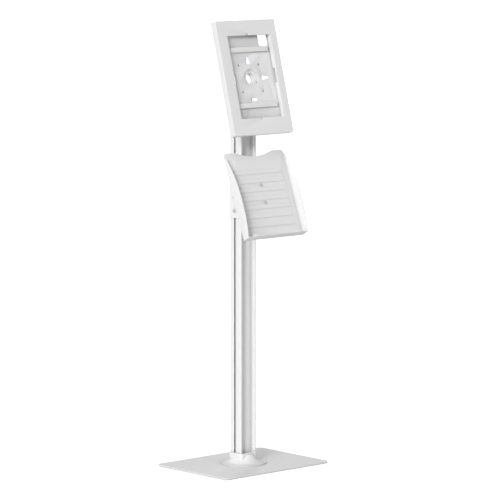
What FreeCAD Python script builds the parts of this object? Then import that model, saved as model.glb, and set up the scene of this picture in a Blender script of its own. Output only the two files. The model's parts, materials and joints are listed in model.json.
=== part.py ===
import FreeCAD, Part
import Sketcher
import math
import os

# Floor-standing tablet holder. The origin is on the floor under the column's axis,
# +X is right as seen from the front, +Y is towards the back and +Z is up. Sizes are in mm.

doc = FreeCAD.newDocument("tablet_holder")

# Driving dimensions: the alias of each cell and its plain value
SIZES = {
    "mat_thickness": 2, "mat_inset": 6,
    "base_width": 394, "base_depth": 293, "base_thickness": 5, "base_corner_radius": 16.5,
    "base_edge_round": 1,
    "column_width": 56, "column_depth": 45, "column_length": 1008, "column_wall": 4,
    "web_wall": 2, "front_channel_depth": 15.5, "rear_channel_depth": 8,
    "slot_mouth": 8, "slot_lip": 3, "slot_cavity_width": 14, "slot_cavity_depth": 6,
    "port_radius": 4.05, "port_spacing": 20, "port_block_width": 14,
    "base_bolt_radius": 4, "base_bolt_length": 34, "base_bolt_head_radius": 8,
    "base_bolt_head_height": 3.5, "base_bolt_gap": 0.2,
    "collar_brim_radius": 66, "collar_brim_edge": 3, "collar_height": 31,
    "collar_flare_radius": 31, "collar_flare_top": 27, "collar_flare_sag": 9,
    "collar_neck_wall": 4.6, "collar_neck_round": 12, "collar_top_round": 2, "collar_gap": 0.5,
    "cover_thickness": 2, "cover_gap": 0.3, "cover_leg": 1.6,
    "cap_thickness": 3, "cap_edge_round": 1,
    "post_flange_thickness": 4, "post_flange_inset": 3, "post_width": 40,
    "post_half_depth": 10, "post_ear": 3.5,
    "post_screw_length": 28, "post_screw_head_radius": 5.5, "post_screw_head_height": 5,
    "head_lean": 14.9, "hub_rise": 74.2, "hub_forward": 32.5, "pivot_behind_plate": 34,
    "pivot_drop": 26,
    "yoke_plate_radius": 22, "yoke_plate_thickness": 5, "yoke_cheek": 4, "yoke_bore_gap": 0.06,
    "yoke_round": 6,
    "washer_thickness": 1, "washer_radius": 9.5, "turn_gap": 0.1,
    "tilt_bolt_radius": 4, "tilt_bolt_gap": 0.06, "tilt_head_radius": 7, "tilt_head_height": 5,
    "tilt_nut_thickness": 6.5, "spacer_radius": 7,
    "spindle_radius": 16, "spindle_bore_radius": 14, "spindle_length": 9.5,
    "hub_flange_radius": 25, "hub_flange_thickness": 3, "ring_nut_radius": 20.5,
    "ring_nut_thickness": 3,
    "head_width": 220, "head_height": 321.5, "head_depth": 18, "head_corner_radius": 3,
    "head_edge_round": 1, "frame_wall": 1.5,
    "border_left": 35.8, "border_right": 25, "border_top": 42.5, "border_low": 46.5,
    "window_corner_radius": 3, "window_edge_round": 0.7,
    "window_flange": 8, "window_flange_wall": 1.5, "side_flange": 12.5,
    "notch_width": 4.5, "notch_depth": 4.5, "side_notch_low": -17, "side_notch_high": 23,
    "side_notch_depth": 8,
    "plate_thickness": 2.5, "plate_gap": 0.4, "plate_rim_height": 3, "plate_rim_wall": 1.5,
    "eye_margin": 1,
    "dimple_radius": 25, "dimple_depth": 2.5, "hub_screw_circle": 21, "hub_screw_radius": 2,
    "hub_screw_head_radius": 3.4, "hub_screw_head_height": 1.6, "hub_screw_length": 5.4,
    "insert_spacing": 75, "insert_radius": 3.5, "insert_bore_radius": 2, "insert_length": 7,
    "keyhole_head_radius": 6.5, "keyhole_slot_width": 6.5, "keyhole_start": 46,
    "keyhole_length": 12, "side_keyhole_start": 47, "side_keyhole_length": 16,
    "obround_length": 24, "obround_width": 8, "obround_drop": 60,
    "camera_left": 51, "camera_right": 84, "camera_low": 89, "camera_high": 123,
    "camera_corner_radius": 6, "side_slot_left": -62, "side_slot_right": -57,
    "side_slot_low": -12, "side_slot_high": 9,
    "rail_length": 154, "rail_height": 14, "rail_thickness": 1.5, "rail_round": 2,
    "foam_thickness": 4, "upper_rail_rise": 80, "lower_rail_drop": 77,
    "hinge_rise": 6.5, "hinge_forward": 2, "hinge_radius": 3.5, "hinge_pin_radius": 2,
    "hinge_pin_gap": 0.05, "hinge_offset": 75, "knuckle_length": 11, "knuckle_gap": 0.4,
    "plate_drop_gap": 5,
    "lock_drop": 21.5, "lock_radius": 8, "lock_head_radius": 10, "lock_head_height": 2,
    "lock_front": 5.5, "plug_radius": 5.5, "plug_gap": 0.08, "lock_nut_radius": 12,
    "lock_nut_thickness": 3, "keyway_width": 1.6, "keyway_length": 7, "keyway_depth": 4,
    "plug_proud": 0.4,
    "cam_gap": 0.5, "cam_thickness": 2, "cam_round": 4.5, "cam_width": 10, "cam_reach": 16,
    "cam_screw_radius": 1.5, "cam_screw_length": 4,
    "cam_screw_head_radius": 3.5, "cam_screw_head_height": 2, "catch_width": 16,
    "catch_reach": 9, "catch_thickness": 1.2, "catch_forward": 4,
    "tray_lean": 20.22, "tray_top_drop": 128.7, "tray_top_forward": 41.5, "tray_width": 222.5,
    "tray_length": 248, "tray_sheet": 1.5, "tray_corner_radius": 12,
    "dip_half_width": 68, "dip_depth": 13, "dip_corner_radius": 26,
    "wing_bottom": 20.5, "wing_middle": 29.2, "wing_middle_rise": 90,
    "wing_top": 6.5, "wing_top_rise": 232, "wing_end_rise": 237,
    "wing_bottom_bulge": -2.7, "wing_top_bulge": -6.8,
    "shelf_depth": 23.5, "shelf_tilt": 11.25,
    "tab_width": 22, "tab_height": 8, "tab_offset": 80,
    "ridge_count": 7, "ridge_pitch": 24.95, "ridge_length": 185, "ridge_half_height": 6,
    "ridge_proud": 1.2, "ridge_edge_round": 0.8, "ridge_start": 40,
    "tray_screw_upper_rise": 151.5, "tray_screw_lower_rise": 102, "tray_screw_radius": 2.5,
    "tray_screw_head_radius": 4.5, "tray_screw_head_height": 2, "tray_nut_radius": 4.6,
    "tray_nut_thickness": 4,
    "bracket_sheet": 2, "bracket_gap": 0.1, "bracket_low_drop": 186.3,
    "bracket_high_drop": 71.3, "side_screw_upper_drop": 128.3,
    "side_screw_lower_drop": 166.3, "side_screw_radius": 3,
    "side_screw_head_radius": 4.5, "side_screw_head_height": 3, "slot_nut_gap": 0.3,
    "slot_nut_length": 14,
}

sheet = doc.addObject("Spreadsheet::Sheet", "Sizes")
for row, (alias, value) in enumerate(SIZES.items(), start=1):
    sheet.set("A%d" % row, alias)
    sheet.set("B%d" % row, str(value))
    sheet.setAlias("B%d" % row, alias)
doc.recompute()


def size(alias):
    """Value of one cell of the sheet, as a plain number."""
    return float(getattr(sheet, alias))


def value_of(expression):
    """Value that an expression of the sheet's cells has now."""
    return float(sheet.evalExpression(str(expression)))


def origin_plane(body, role):
    """Origin plane of a body, found by its role such as XY_Plane."""
    return [feature for feature in body.Origin.OriginFeatures if feature.Role == role][0]


def new_body(label, placement=None):
    """Empty body that carries a sub-part's name."""
    body = doc.addObject("PartDesign::Body", label)
    body.Label = label
    if placement is not None:
        body.Placement = placement
    return body


def new_sketch(body, role="XY_Plane", offset="0"):
    """Sketch on one of the body's own origin planes, raised by an expression."""
    sketch = body.newObject("Sketcher::SketchObject", body.Name + "_sketch")
    sketch.AttachmentSupport = [(origin_plane(body, role), "")]
    sketch.MapMode = "FlatFace"
    sketch.setExpression(".AttachmentOffset.Base.z", offset)
    return sketch


def sketch_in_frame(body, frame):
    """Sketch that lies in a leaning frame, hung on the body's own ground plane."""
    sketch = body.newObject("Sketcher::SketchObject", body.Name + "_sketch")
    sketch.AttachmentSupport = [(origin_plane(body, "XY_Plane"), "")]
    sketch.MapMode = "FlatFace"
    sketch.AttachmentOffset = frame
    return sketch


def constrain(sketch, expression, *constraint):
    """Add a dimension to a sketch and bind it to an expression of cells."""
    index = sketch.addConstraint(Sketcher.Constraint(*constraint, value_of(expression)))
    sketch.setExpression("Constraints[%d]" % index, expression)


def place_point(sketch, geometry, end, x_expression, y_expression):
    """Hold one point of a sketch at the distances given from the sketch's origin."""
    constrain(sketch, x_expression, "DistanceX", -1, 1, geometry, end)
    constrain(sketch, y_expression, "DistanceY", -1, 1, geometry, end)


def add_circle(sketch, x_expression, y_expression, radius_expression):
    """Circle of a bound radius at a bound place."""
    centre = FreeCAD.Vector(value_of(x_expression), value_of(y_expression), 0)
    up = FreeCAD.Vector(0, 0, 1)
    index = sketch.addGeometry(Part.Circle(centre, up, value_of(radius_expression)), False)
    constrain(sketch, radius_expression, "Radius", index)
    place_point(sketch, index, 3, x_expression, y_expression)


def add_outline(sketch, corners):
    """Closed outline through bound corner points.

    A corner is (x, y), or (x, y, bulge) where an arc leaves it: bulge is the arc's rise
    to the right of its run, and a rise below zero bends it to the left.
    """
    count = len(corners)
    points = [FreeCAD.Vector(value_of(corner[0]), value_of(corner[1]), 0) for corner in corners]
    first = sketch.GeometryCount
    start_ends = []
    for number, corner in enumerate(corners):
        start = points[number]
        end = points[(number + 1) % count]
        if len(corner) == 3:
            rise = value_of(corner[2])
            run = end.sub(start)
            side = FreeCAD.Vector(run.y, -run.x, 0).normalize()
            sketch.addGeometry(Part.Arc(start, (start + end) * 0.5 + side * rise, end), False)
            start_ends.append(1 if rise > 0 else 2)
        else:
            sketch.addGeometry(Part.LineSegment(start, end), False)
            start_ends.append(1)
    for number, corner in enumerate(corners):
        following = (number + 1) % count
        place_point(sketch, first + number, start_ends[number], corner[0], corner[1])
        sketch.addConstraint(Sketcher.Constraint(
            "Coincident", first + number, 3 - start_ends[number],
            first + following, start_ends[following]))
    for number, corner in enumerate(corners):
        if len(corner) == 3:
            ahead = corners[(number + 1) % count]
            chord_squared = "(((%s) - (%s))^2 + ((%s) - (%s))^2)" % (
                ahead[0], corner[0], ahead[1], corner[1])
            radius = "(%s / 4 + (%s)^2) / (2 * abs(%s))" % (chord_squared, corner[2], corner[2])
            constrain(sketch, radius, "Radius", first + number)


def add_rectangle(sketch, left, right, low, high):
    """Rectangle between four bound sides."""
    add_outline(sketch, [(left, low), (right, low), (right, high), (left, high)])


def add_centred_rectangle(sketch, width, height, x_expression="0", y_expression="0"):
    """Rectangle of a bound width and height about a bound centre."""
    add_rectangle(
        sketch,
        "(%s) - (%s) / 2" % (x_expression, width), "(%s) + (%s) / 2" % (x_expression, width),
        "(%s) - (%s) / 2" % (y_expression, height), "(%s) + (%s) / 2" % (y_expression, height))


def add_slot(sketch, low, high, radius, across="0", upright=True):
    """Slot with round ends between two bound centres, upright or lying along X."""
    one_side = "(%s) + (%s)" % (across, radius if upright else "-" + radius)
    other_side = "(%s) - (%s)" % (across, radius if upright else "-" + radius)
    run_first = [(one_side, low), (one_side, high), (other_side, high), (other_side, low)]
    ends = run_first if upright else [(y, x) for x, y in run_first]
    points = [FreeCAD.Vector(value_of(x), value_of(y), 0) for x, y in ends]
    reach = value_of(radius)
    middle = value_of(across)
    tips = [(middle, value_of(high) + reach), (middle, value_of(low) - reach)]
    tips = [FreeCAD.Vector(*(tip if upright else tip[::-1]), 0) for tip in tips]
    first = sketch.GeometryCount
    for side, tip, after in ((0, tips[0], 2), (2, tips[1], 0)):
        sketch.addGeometry(Part.LineSegment(points[side], points[side + 1]), False)
        sketch.addGeometry(Part.Arc(points[side + 1], tip, points[after]), False)
    for side, centre in ((0, high), (2, low)):
        line = first + side
        place_point(sketch, line, 1, *ends[side])
        place_point(sketch, line, 2, *ends[side + 1])
        sketch.addConstraint(Sketcher.Constraint("Coincident", line, 2, line + 1, 1))
        sketch.addConstraint(Sketcher.Constraint(
            "Coincident", line + 1, 2, first + (side + 2) % 4, 1))
        constrain(sketch, centre, "DistanceY" if upright else "DistanceX", -1, 1, line + 1, 3)


def pad(body, sketch, length, reversed_way=False, midplane=False):
    """Solid raised from a sketch by a bound length."""
    feature = body.newObject("PartDesign::Pad", body.Name + "_pad")
    feature.Profile = sketch
    feature.setExpression("Length", length)
    feature.Reversed = reversed_way
    feature.Midplane = midplane
    sketch.Visibility = False
    doc.recompute()
    return feature


def pocket(body, sketch, depth, reversed_way=False, midplane=False):
    """Recess cut from a sketch by a bound depth, checked to remove material."""
    before = body.Shape.Volume
    feature = body.newObject("PartDesign::Pocket", body.Name + "_pocket")
    feature.Profile = sketch
    feature.setExpression("Length", depth)
    feature.Reversed = reversed_way
    feature.Midplane = midplane
    doc.recompute()
    if body.Shape.Volume > before - 0.01:
        raise ValueError("a pocket of %s cut nothing" % body.Label)
    return feature


def round_edges(body, chooser, radius):
    """Fillet of a bound radius on the edges that the chooser picks."""
    tip = body.Tip
    names = ["Edge%d" % (n + 1) for n, edge in enumerate(tip.Shape.Edges) if chooser(edge)]
    if not names:
        raise ValueError("no edge to round on %s" % body.Label)
    feature = body.newObject("PartDesign::Fillet", body.Name + "_round")
    feature.Base = (tip, names)
    feature.setExpression("Radius", radius)
    doc.recompute()
    return feature


def primitive(kind, name, placement=None, **expressions):
    """Part primitive whose sizes are bound to expressions of cells."""
    solid = doc.addObject("Part::" + kind, name)
    for key, expression in expressions.items():
        solid.setExpression(key, expression)
    if placement is not None:
        solid.Placement = placement
    return solid


def boolean(kind, name, *shapes):
    """Boolean of two or more solids: Cut, MultiFuse, MultiCommon or Compound."""
    result = doc.addObject("Part::" + kind, name)
    if kind == "Cut":
        result.Base, result.Tool = shapes
    elif kind == "Compound":
        result.Links = list(shapes)
    else:
        result.Shapes = list(shapes)
    doc.recompute()
    return result


def along(edge, direction):
    """True where a straight edge runs along a direction."""
    if len(edge.Vertexes) != 2 or edge.Curve.TypeId != "Part::GeomLine":
        return False
    run = edge.Vertexes[1].Point.sub(edge.Vertexes[0].Point).normalize()
    return abs(run.dot(FreeCAD.Vector(*direction))) > 0.999


def lies_at_height(edge, height):
    """True where the whole edge lies at one height in its body's own frame."""
    box = edge.BoundBox
    return abs(box.ZMin - height) < 0.001 and abs(box.ZMax - height) < 0.001


def is_outer_upright(edge, half_width, half_depth):
    """True for the upright edges at the corners of a centred block."""
    middle = edge.CenterOfMass
    at_corner = abs(abs(middle.x) - half_width) < 0.01 and abs(abs(middle.y) - half_depth) < 0.01
    return along(edge, (0, 0, 1)) and at_corner


# Heights and places that several sub-parts share
PLATE_TOP = "(Sizes.mat_thickness + Sizes.base_thickness)"
SLOT_Y = "((Sizes.front_channel_depth - Sizes.rear_channel_depth) / 2)"
HALF_WIDTH = "(Sizes.column_width / 2)"
HALF_DEPTH = "(Sizes.column_depth / 2)"
COLUMN_TOP = "(%s + Sizes.column_length)" % PLATE_TOP
CAP_TOP = "(%s + Sizes.cap_thickness)" % COLUMN_TOP
FLANGE_TOP = "(%s + Sizes.post_flange_thickness)" % CAP_TOP
PORT_X = "(Sizes.port_spacing / 2)"
TRAY_TOP = "(%s - Sizes.tray_top_drop)" % COLUMN_TOP
SIDE_SCREW_DROPS = ("side_screw_upper_drop", "side_screw_lower_drop")

slot_y = value_of(SLOT_Y)
port_x = value_of(PORT_X)


# Frames of the parts that lean: local X is to the right, local Y runs up the leaning
# plate and local Z stands out of its front
def leaning_frame(lean, forward, height):
    """Placement of a plate that leans back by an angle in degrees."""
    turn = FreeCAD.Rotation(FreeCAD.Vector(1, 0, 0), 90 - lean)
    return FreeCAD.Placement(FreeCAD.Vector(0, -forward, height), turn)


hub_height = value_of(COLUMN_TOP) + size("hub_rise")
head_frame = leaning_frame(size("head_lean"), size("hub_forward"), hub_height)
tray_angle = math.radians(size("tray_lean"))
tray_foot_forward = size("tray_top_forward") + size("tray_length") * math.sin(tray_angle)
tray_foot_height = value_of(TRAY_TOP) - size("tray_length") * math.cos(tray_angle)
tray_frame = leaning_frame(size("tray_lean"), tray_foot_forward, tray_foot_height)

TURN_TO_X = FreeCAD.Rotation(FreeCAD.Vector(0, 1, 0), 90)
TURN_BACK = FreeCAD.Rotation(FreeCAD.Vector(1, 0, 0), 180)
NO_TURN = FreeCAD.Rotation()


def placed(frame, x, y, z, turn=NO_TURN):
    """Placement at a point of a frame, with a turn of its own."""
    return frame.multiply(FreeCAD.Placement(FreeCAD.Vector(x, y, z), turn))


def upright(x, y, z, turn=NO_TURN):
    """Placement in the part's own frame."""
    return FreeCAD.Placement(FreeCAD.Vector(x, y, z), turn)


def screw(name, placement, shank_radius, shank_length, head_radius, head_height):
    """Socket screw along its own Z: the shank runs down from 0, the head stands above."""
    shank = primitive("Cylinder", name + "_shank", None, Radius=shank_radius, Height=shank_length)
    shank.setExpression(".Placement.Base.z", "-(%s)" % shank_length)
    head = primitive("Cylinder", name + "_head", None, Radius=head_radius, Height=head_height)
    socket = primitive("Prism", name + "_socket", None, Circumradius="(%s) * 0.45" % head_radius,
                       Height="%s" % head_height)
    socket.setExpression(".Placement.Base.z", "(%s) * 0.4" % head_height)
    whole = boolean("MultiFuse", name + "_blank", shank, head)
    finished = boolean("Cut", name, whole, socket)
    finished.Placement = placement
    return finished


def hex_nut(name, placement, radius, bore_radius, thickness):
    """Hexagonal nut that stands on its own XY plane."""
    blank = primitive("Prism", name + "_blank", None, Circumradius=radius, Height=thickness)
    bore = primitive("Cylinder", name + "_bore", None, Radius=bore_radius, Height=thickness)
    finished = boolean("Cut", name, blank, bore)
    finished.Placement = placement
    return finished


def tube(name, placement, radius, bore_radius, length):
    """Plain ring or tube that stands on its own XY plane."""
    blank = primitive("Cylinder", name + "_blank", None, Radius=radius, Height=length)
    bore = primitive("Cylinder", name + "_bore", None, Radius=bore_radius, Height=length)
    finished = boolean("Cut", name, blank, bore)
    finished.Placement = placement
    return finished


def group(label, members):
    """One sub-part of several separate solids."""
    result = boolean("Compound", label, *members)
    result.Label = label
    return result


pivot = head_frame.multVec(
    FreeCAD.Vector(0, -size("pivot_drop"), -size("pivot_behind_plate")))


def make_floor_mat():
    """Thin rubber sheet under the base plate."""
    body = new_body("floor_mat")
    sketch = new_sketch(body)
    add_centred_rectangle(sketch, "(Sizes.base_width - 2 * Sizes.mat_inset)",
                          "(Sizes.base_depth - 2 * Sizes.mat_inset)")
    pad(body, sketch, "Sizes.mat_thickness")
    round_edges(body, lambda e: along(e, (0, 0, 1)), "Sizes.base_corner_radius - Sizes.mat_inset")
    return body


def make_base_plate():
    """Steel floor plate with two counterbored holes for the column's bolts."""
    body = new_body("base_plate")
    sketch = new_sketch(body, offset="Sizes.mat_thickness")
    add_centred_rectangle(sketch, "Sizes.base_width", "Sizes.base_depth")
    pad(body, sketch, "Sizes.base_thickness")
    round_edges(body, lambda e: along(e, (0, 0, 1)), "Sizes.base_corner_radius")
    top = value_of(PLATE_TOP)
    round_edges(body, lambda e: lies_at_height(e, top), "Sizes.base_edge_round")
    for radius, depth in (
            ("Sizes.base_bolt_head_radius + Sizes.base_bolt_gap",
             "Sizes.base_bolt_head_height + Sizes.base_bolt_gap"),
            ("Sizes.base_bolt_radius + Sizes.base_bolt_gap", "Sizes.base_thickness")):
        holes = new_sketch(body, offset="Sizes.mat_thickness")
        add_circle(holes, PORT_X, SLOT_Y, radius)
        add_circle(holes, "-" + PORT_X, SLOT_Y, radius)
        pocket(body, holes, depth, reversed_way=True)
    return body


def make_base_bolts():
    """Two bolts that hold the column down, let into the plate from below."""
    seat = size("mat_thickness") + size("base_bolt_head_height") + size("base_bolt_gap")
    members = []
    for number, x in enumerate((-port_x, port_x)):
        members.append(screw(
            "base_bolt_%d" % number, upright(x, slot_y, seat, TURN_BACK),
            "Sizes.base_bolt_radius", "Sizes.base_bolt_length", "Sizes.base_bolt_head_radius",
            "Sizes.base_bolt_head_height"))
    return group("base_bolts", members)


def make_foot_collar():
    """Flared round foot cover with a squarish neck round the column."""
    body = new_body("foot_collar", upright(0, 0, value_of(PLATE_TOP)))
    profile = new_sketch(body, "XZ_Plane")
    add_outline(profile, [
        ("0", "0"), ("Sizes.collar_brim_radius", "0"),
        ("Sizes.collar_brim_radius", "Sizes.collar_brim_edge", "-Sizes.collar_flare_sag"),
        ("Sizes.collar_flare_radius", "Sizes.collar_flare_top"), ("0", "Sizes.collar_flare_top")])
    bell = body.newObject("PartDesign::Revolution", "collar_bell")
    bell.Profile = profile
    bell.ReferenceAxis = (profile, ["V_Axis"])
    bell.Angle = 360
    doc.recompute()
    neck = new_sketch(body)
    wall = "2 * (Sizes.collar_gap + Sizes.collar_neck_wall)"
    neck_width = "(Sizes.column_width + %s)" % wall
    neck_depth = "(Sizes.column_depth + %s)" % wall
    add_centred_rectangle(neck, neck_width, neck_depth)
    pad(body, neck, "Sizes.collar_height")
    half = (value_of(neck_width) / 2, value_of(neck_depth) / 2)
    round_edges(body, lambda e: is_outer_upright(e, *half), "Sizes.collar_neck_round")
    top = size("collar_height")
    round_edges(body, lambda e: lies_at_height(e, top), "Sizes.collar_top_round")
    hole = new_sketch(body)
    add_centred_rectangle(hole, "(Sizes.column_width + 2 * Sizes.collar_gap)",
                          "(Sizes.column_depth + 2 * Sizes.collar_gap)")
    pocket(body, hole, "Sizes.collar_height", reversed_way=True)
    return body


def make_column_profile():
    """Aluminium extrusion with a wide channel in front, a duct behind and side slots."""
    body = new_body("column_profile")
    sketch = new_sketch(body, offset=PLATE_TOP)
    lip = "(%s - Sizes.slot_lip)" % HALF_WIDTH
    back_of_slot = "(%s - Sizes.slot_lip - Sizes.slot_cavity_depth)" % HALF_WIDTH
    rail = "(%s - Sizes.column_wall)" % HALF_WIDTH
    front_web = "(Sizes.front_channel_depth - %s)" % HALF_DEPTH
    rear_web = "(%s - Sizes.rear_channel_depth)" % HALF_DEPTH
    mouth = "Sizes.slot_mouth / 2"
    cavity = "Sizes.slot_cavity_width / 2"
    right_side = [
        (HALF_WIDTH, "-" + HALF_DEPTH),
        (HALF_WIDTH, "%s - %s" % (SLOT_Y, mouth)), (lip, "%s - %s" % (SLOT_Y, mouth)),
        (lip, "%s - %s" % (SLOT_Y, cavity)), (back_of_slot, "%s - %s" % (SLOT_Y, cavity)),
        (back_of_slot, "%s + %s" % (SLOT_Y, cavity)), (lip, "%s + %s" % (SLOT_Y, cavity)),
        (lip, "%s + %s" % (SLOT_Y, mouth)), (HALF_WIDTH, "%s + %s" % (SLOT_Y, mouth)),
        (HALF_WIDTH, HALF_DEPTH), (rail, HALF_DEPTH), (rail, rear_web)]
    left_side = [("-" + x, y) for x, y in reversed(right_side)]
    add_outline(sketch, right_side + left_side + [
        ("-" + rail, "-" + HALF_DEPTH), ("-" + rail, front_web),
        (rail, front_web), (rail, "-" + HALF_DEPTH)])
    chamber = "(%s - Sizes.port_block_width / 2)" % PORT_X
    add_rectangle(sketch, "-" + chamber, chamber,
                  "%s + Sizes.web_wall" % front_web, "%s - Sizes.web_wall" % rear_web)
    add_circle(sketch, PORT_X, SLOT_Y, "Sizes.port_radius")
    add_circle(sketch, "-" + PORT_X, SLOT_Y, "Sizes.port_radius")
    pad(body, sketch, "Sizes.column_length")
    return body


def make_cable_cover():
    """Snap-in cover that closes the cable duct at the back of the column."""
    body = new_body("cable_cover")
    sketch = new_sketch(body, offset="%s + Sizes.collar_height + Sizes.cover_gap" % PLATE_TOP)
    side = "(%s - Sizes.column_wall - Sizes.cover_gap)" % HALF_WIDTH
    inner = "(%s - Sizes.cover_leg)" % side
    under = "(%s - Sizes.cover_thickness)" % HALF_DEPTH
    floor = "(%s - Sizes.rear_channel_depth)" % HALF_DEPTH
    add_outline(sketch, [
        ("-" + side, HALF_DEPTH), ("-" + side, floor), ("-" + inner, floor), ("-" + inner, under),
        (inner, under), (inner, floor), (side, floor), (side, HALF_DEPTH)])
    pad(body, sketch, "Sizes.column_length - Sizes.collar_height - Sizes.cover_gap")
    return body


def make_column_cap():
    """Moulded cap over the column's open end."""
    body = new_body("column_cap")
    sketch = new_sketch(body, offset=COLUMN_TOP)
    add_centred_rectangle(sketch, "Sizes.column_width", "Sizes.column_depth")
    add_circle(sketch, PORT_X, SLOT_Y, "Sizes.port_radius")
    add_circle(sketch, "-" + PORT_X, SLOT_Y, "Sizes.port_radius")
    pad(body, sketch, "Sizes.cap_thickness")
    half = (size("column_width") / 2, size("column_depth") / 2)
    round_edges(body, lambda e: is_outer_upright(e, *half), "Sizes.cap_edge_round")
    return body


def make_tilt_post():
    """Two-eared bracket on top of the column that carries the tilt pivot."""
    body = new_body("tilt_post", upright(0, pivot.y, pivot.z))
    drop = "(%.6f - %s)" % (pivot.z, FLANGE_TOP)
    back = "(%s - Sizes.post_flange_inset - %.6f)" % (HALF_DEPTH, pivot.y)
    front = "(%s - Sizes.post_flange_inset + %.6f)" % (HALF_DEPTH, pivot.y)
    flange = new_sketch(body, offset="-%s - Sizes.post_flange_thickness" % drop)
    side = "(%s - Sizes.post_flange_inset)" % HALF_WIDTH
    add_rectangle(flange, "-" + side, side, "-" + front, back)
    port_y = "(%s - %.6f)" % (SLOT_Y, pivot.y)
    add_circle(flange, PORT_X, port_y, "Sizes.port_radius")
    add_circle(flange, "-" + PORT_X, port_y, "Sizes.port_radius")
    pad(body, flange, "Sizes.post_flange_thickness")
    ear_start = "Sizes.post_width / 2 - Sizes.post_ear"
    for sign, way in (("", False), ("-", True)):
        place = "%s(%s)" % (sign, ear_start)
        ear = new_sketch(body, "YZ_Plane", place)
        add_rectangle(ear, "-Sizes.post_half_depth", "Sizes.post_half_depth", "-" + drop, "0")
        pad(body, ear, "Sizes.post_ear", reversed_way=way)
        knob = new_sketch(body, "YZ_Plane", place)
        add_circle(knob, "0", "0", "Sizes.post_half_depth")
        pad(body, knob, "Sizes.post_ear", reversed_way=way)
    bore = new_sketch(body, "YZ_Plane")
    add_circle(bore, "0", "0", "Sizes.tilt_bolt_radius + Sizes.tilt_bolt_gap")
    pocket(body, bore, "2 * Sizes.post_width", midplane=True)
    return body


def make_post_screws():
    """Two screws that clamp the post and the cap to the column."""
    top = value_of(FLANGE_TOP)
    members = []
    for number, x in enumerate((-port_x, port_x)):
        members.append(screw(
            "post_screw_%d" % number, upright(x, slot_y, top),
            "Sizes.base_bolt_radius", "Sizes.post_screw_length", "Sizes.post_screw_head_radius",
            "Sizes.post_screw_head_height"))
    return group("post_screws", members)


# Depths behind the head's back plate, each measured down from the plate's front face
PLATE_BACK = "Sizes.plate_thickness"
DIMPLE_BACK = "(Sizes.plate_thickness + Sizes.dimple_depth)"
HUB_BACK = "(%s + Sizes.hub_flange_thickness)" % DIMPLE_BACK
YOKE_FRONT = "(%s + Sizes.turn_gap + Sizes.washer_thickness)" % HUB_BACK
YOKE_BACK = "(%s + Sizes.yoke_plate_thickness)" % YOKE_FRONT
FRONT_FACE = "(Sizes.head_depth - Sizes.plate_thickness)"
FRAME_INSIDE = "(%s - Sizes.frame_wall)" % FRONT_FACE
HALF_HEAD = "(Sizes.head_height / 2)"
HALF_SPAN = "(Sizes.head_width / 2)"
HINGE_V = "(Sizes.hinge_rise - %s)" % HALF_HEAD
LOCK_V = "(%s - Sizes.lock_drop)" % HALF_HEAD
CHEEK_INSIDE = "(Sizes.post_width / 2 + Sizes.washer_thickness)"
WINDOW_LEFT = "(Sizes.border_left - %s)" % HALF_SPAN
WINDOW_RIGHT = "(%s - Sizes.border_right)" % HALF_SPAN
WINDOW_LOW = "(Sizes.border_low - %s)" % HALF_HEAD
WINDOW_TOP = "(%s - Sizes.border_top)" % HALF_HEAD


def make_tilt_yoke():
    """Yoke whose cheeks straddle the post and whose face carries the turning hub."""
    body = new_body("tilt_yoke", head_frame)
    side = "(%s + Sizes.yoke_cheek)" % CHEEK_INSIDE
    eye_low = "(Sizes.pivot_drop + Sizes.post_half_depth)"
    eye_high = "(Sizes.pivot_drop - Sizes.post_half_depth)"
    face = new_sketch(body, offset="-" + YOKE_BACK)
    add_rectangle(face, "-" + side, side, "-" + eye_low, "Sizes.yoke_plate_radius")
    pad(body, face, "Sizes.yoke_plate_thickness")
    half_width = value_of(side)
    round_edges(
        body, lambda e: along(e, (0, 0, 1)) and abs(abs(e.CenterOfMass.x) - half_width) < 0.01,
        "Sizes.yoke_round")
    for sign, way in (("", False), ("-", True)):
        place = "%s%s" % (sign, CHEEK_INSIDE)
        cheek = new_sketch(body, "YZ_Plane", place)
        add_rectangle(cheek, "-" + eye_low, "-" + eye_high,
                      "-Sizes.pivot_behind_plate", "-" + YOKE_FRONT)
        pad(body, cheek, "Sizes.yoke_cheek", reversed_way=way)
        eye = new_sketch(body, "YZ_Plane", place)
        add_circle(eye, "-Sizes.pivot_drop", "-Sizes.pivot_behind_plate", "Sizes.post_half_depth")
        pad(body, eye, "Sizes.yoke_cheek", reversed_way=way)
    bolt_bore = new_sketch(body, "YZ_Plane")
    add_circle(bolt_bore, "-Sizes.pivot_drop", "-Sizes.pivot_behind_plate",
               "Sizes.tilt_bolt_radius + Sizes.tilt_bolt_gap")
    pocket(body, bolt_bore, "2 * Sizes.post_width", midplane=True)
    hub_bore = new_sketch(body, offset="-" + YOKE_BACK)
    add_circle(hub_bore, "0", "0", "Sizes.spindle_radius + Sizes.yoke_bore_gap")
    pocket(body, hub_bore, "Sizes.yoke_plate_thickness", reversed_way=True)
    return body


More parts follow.
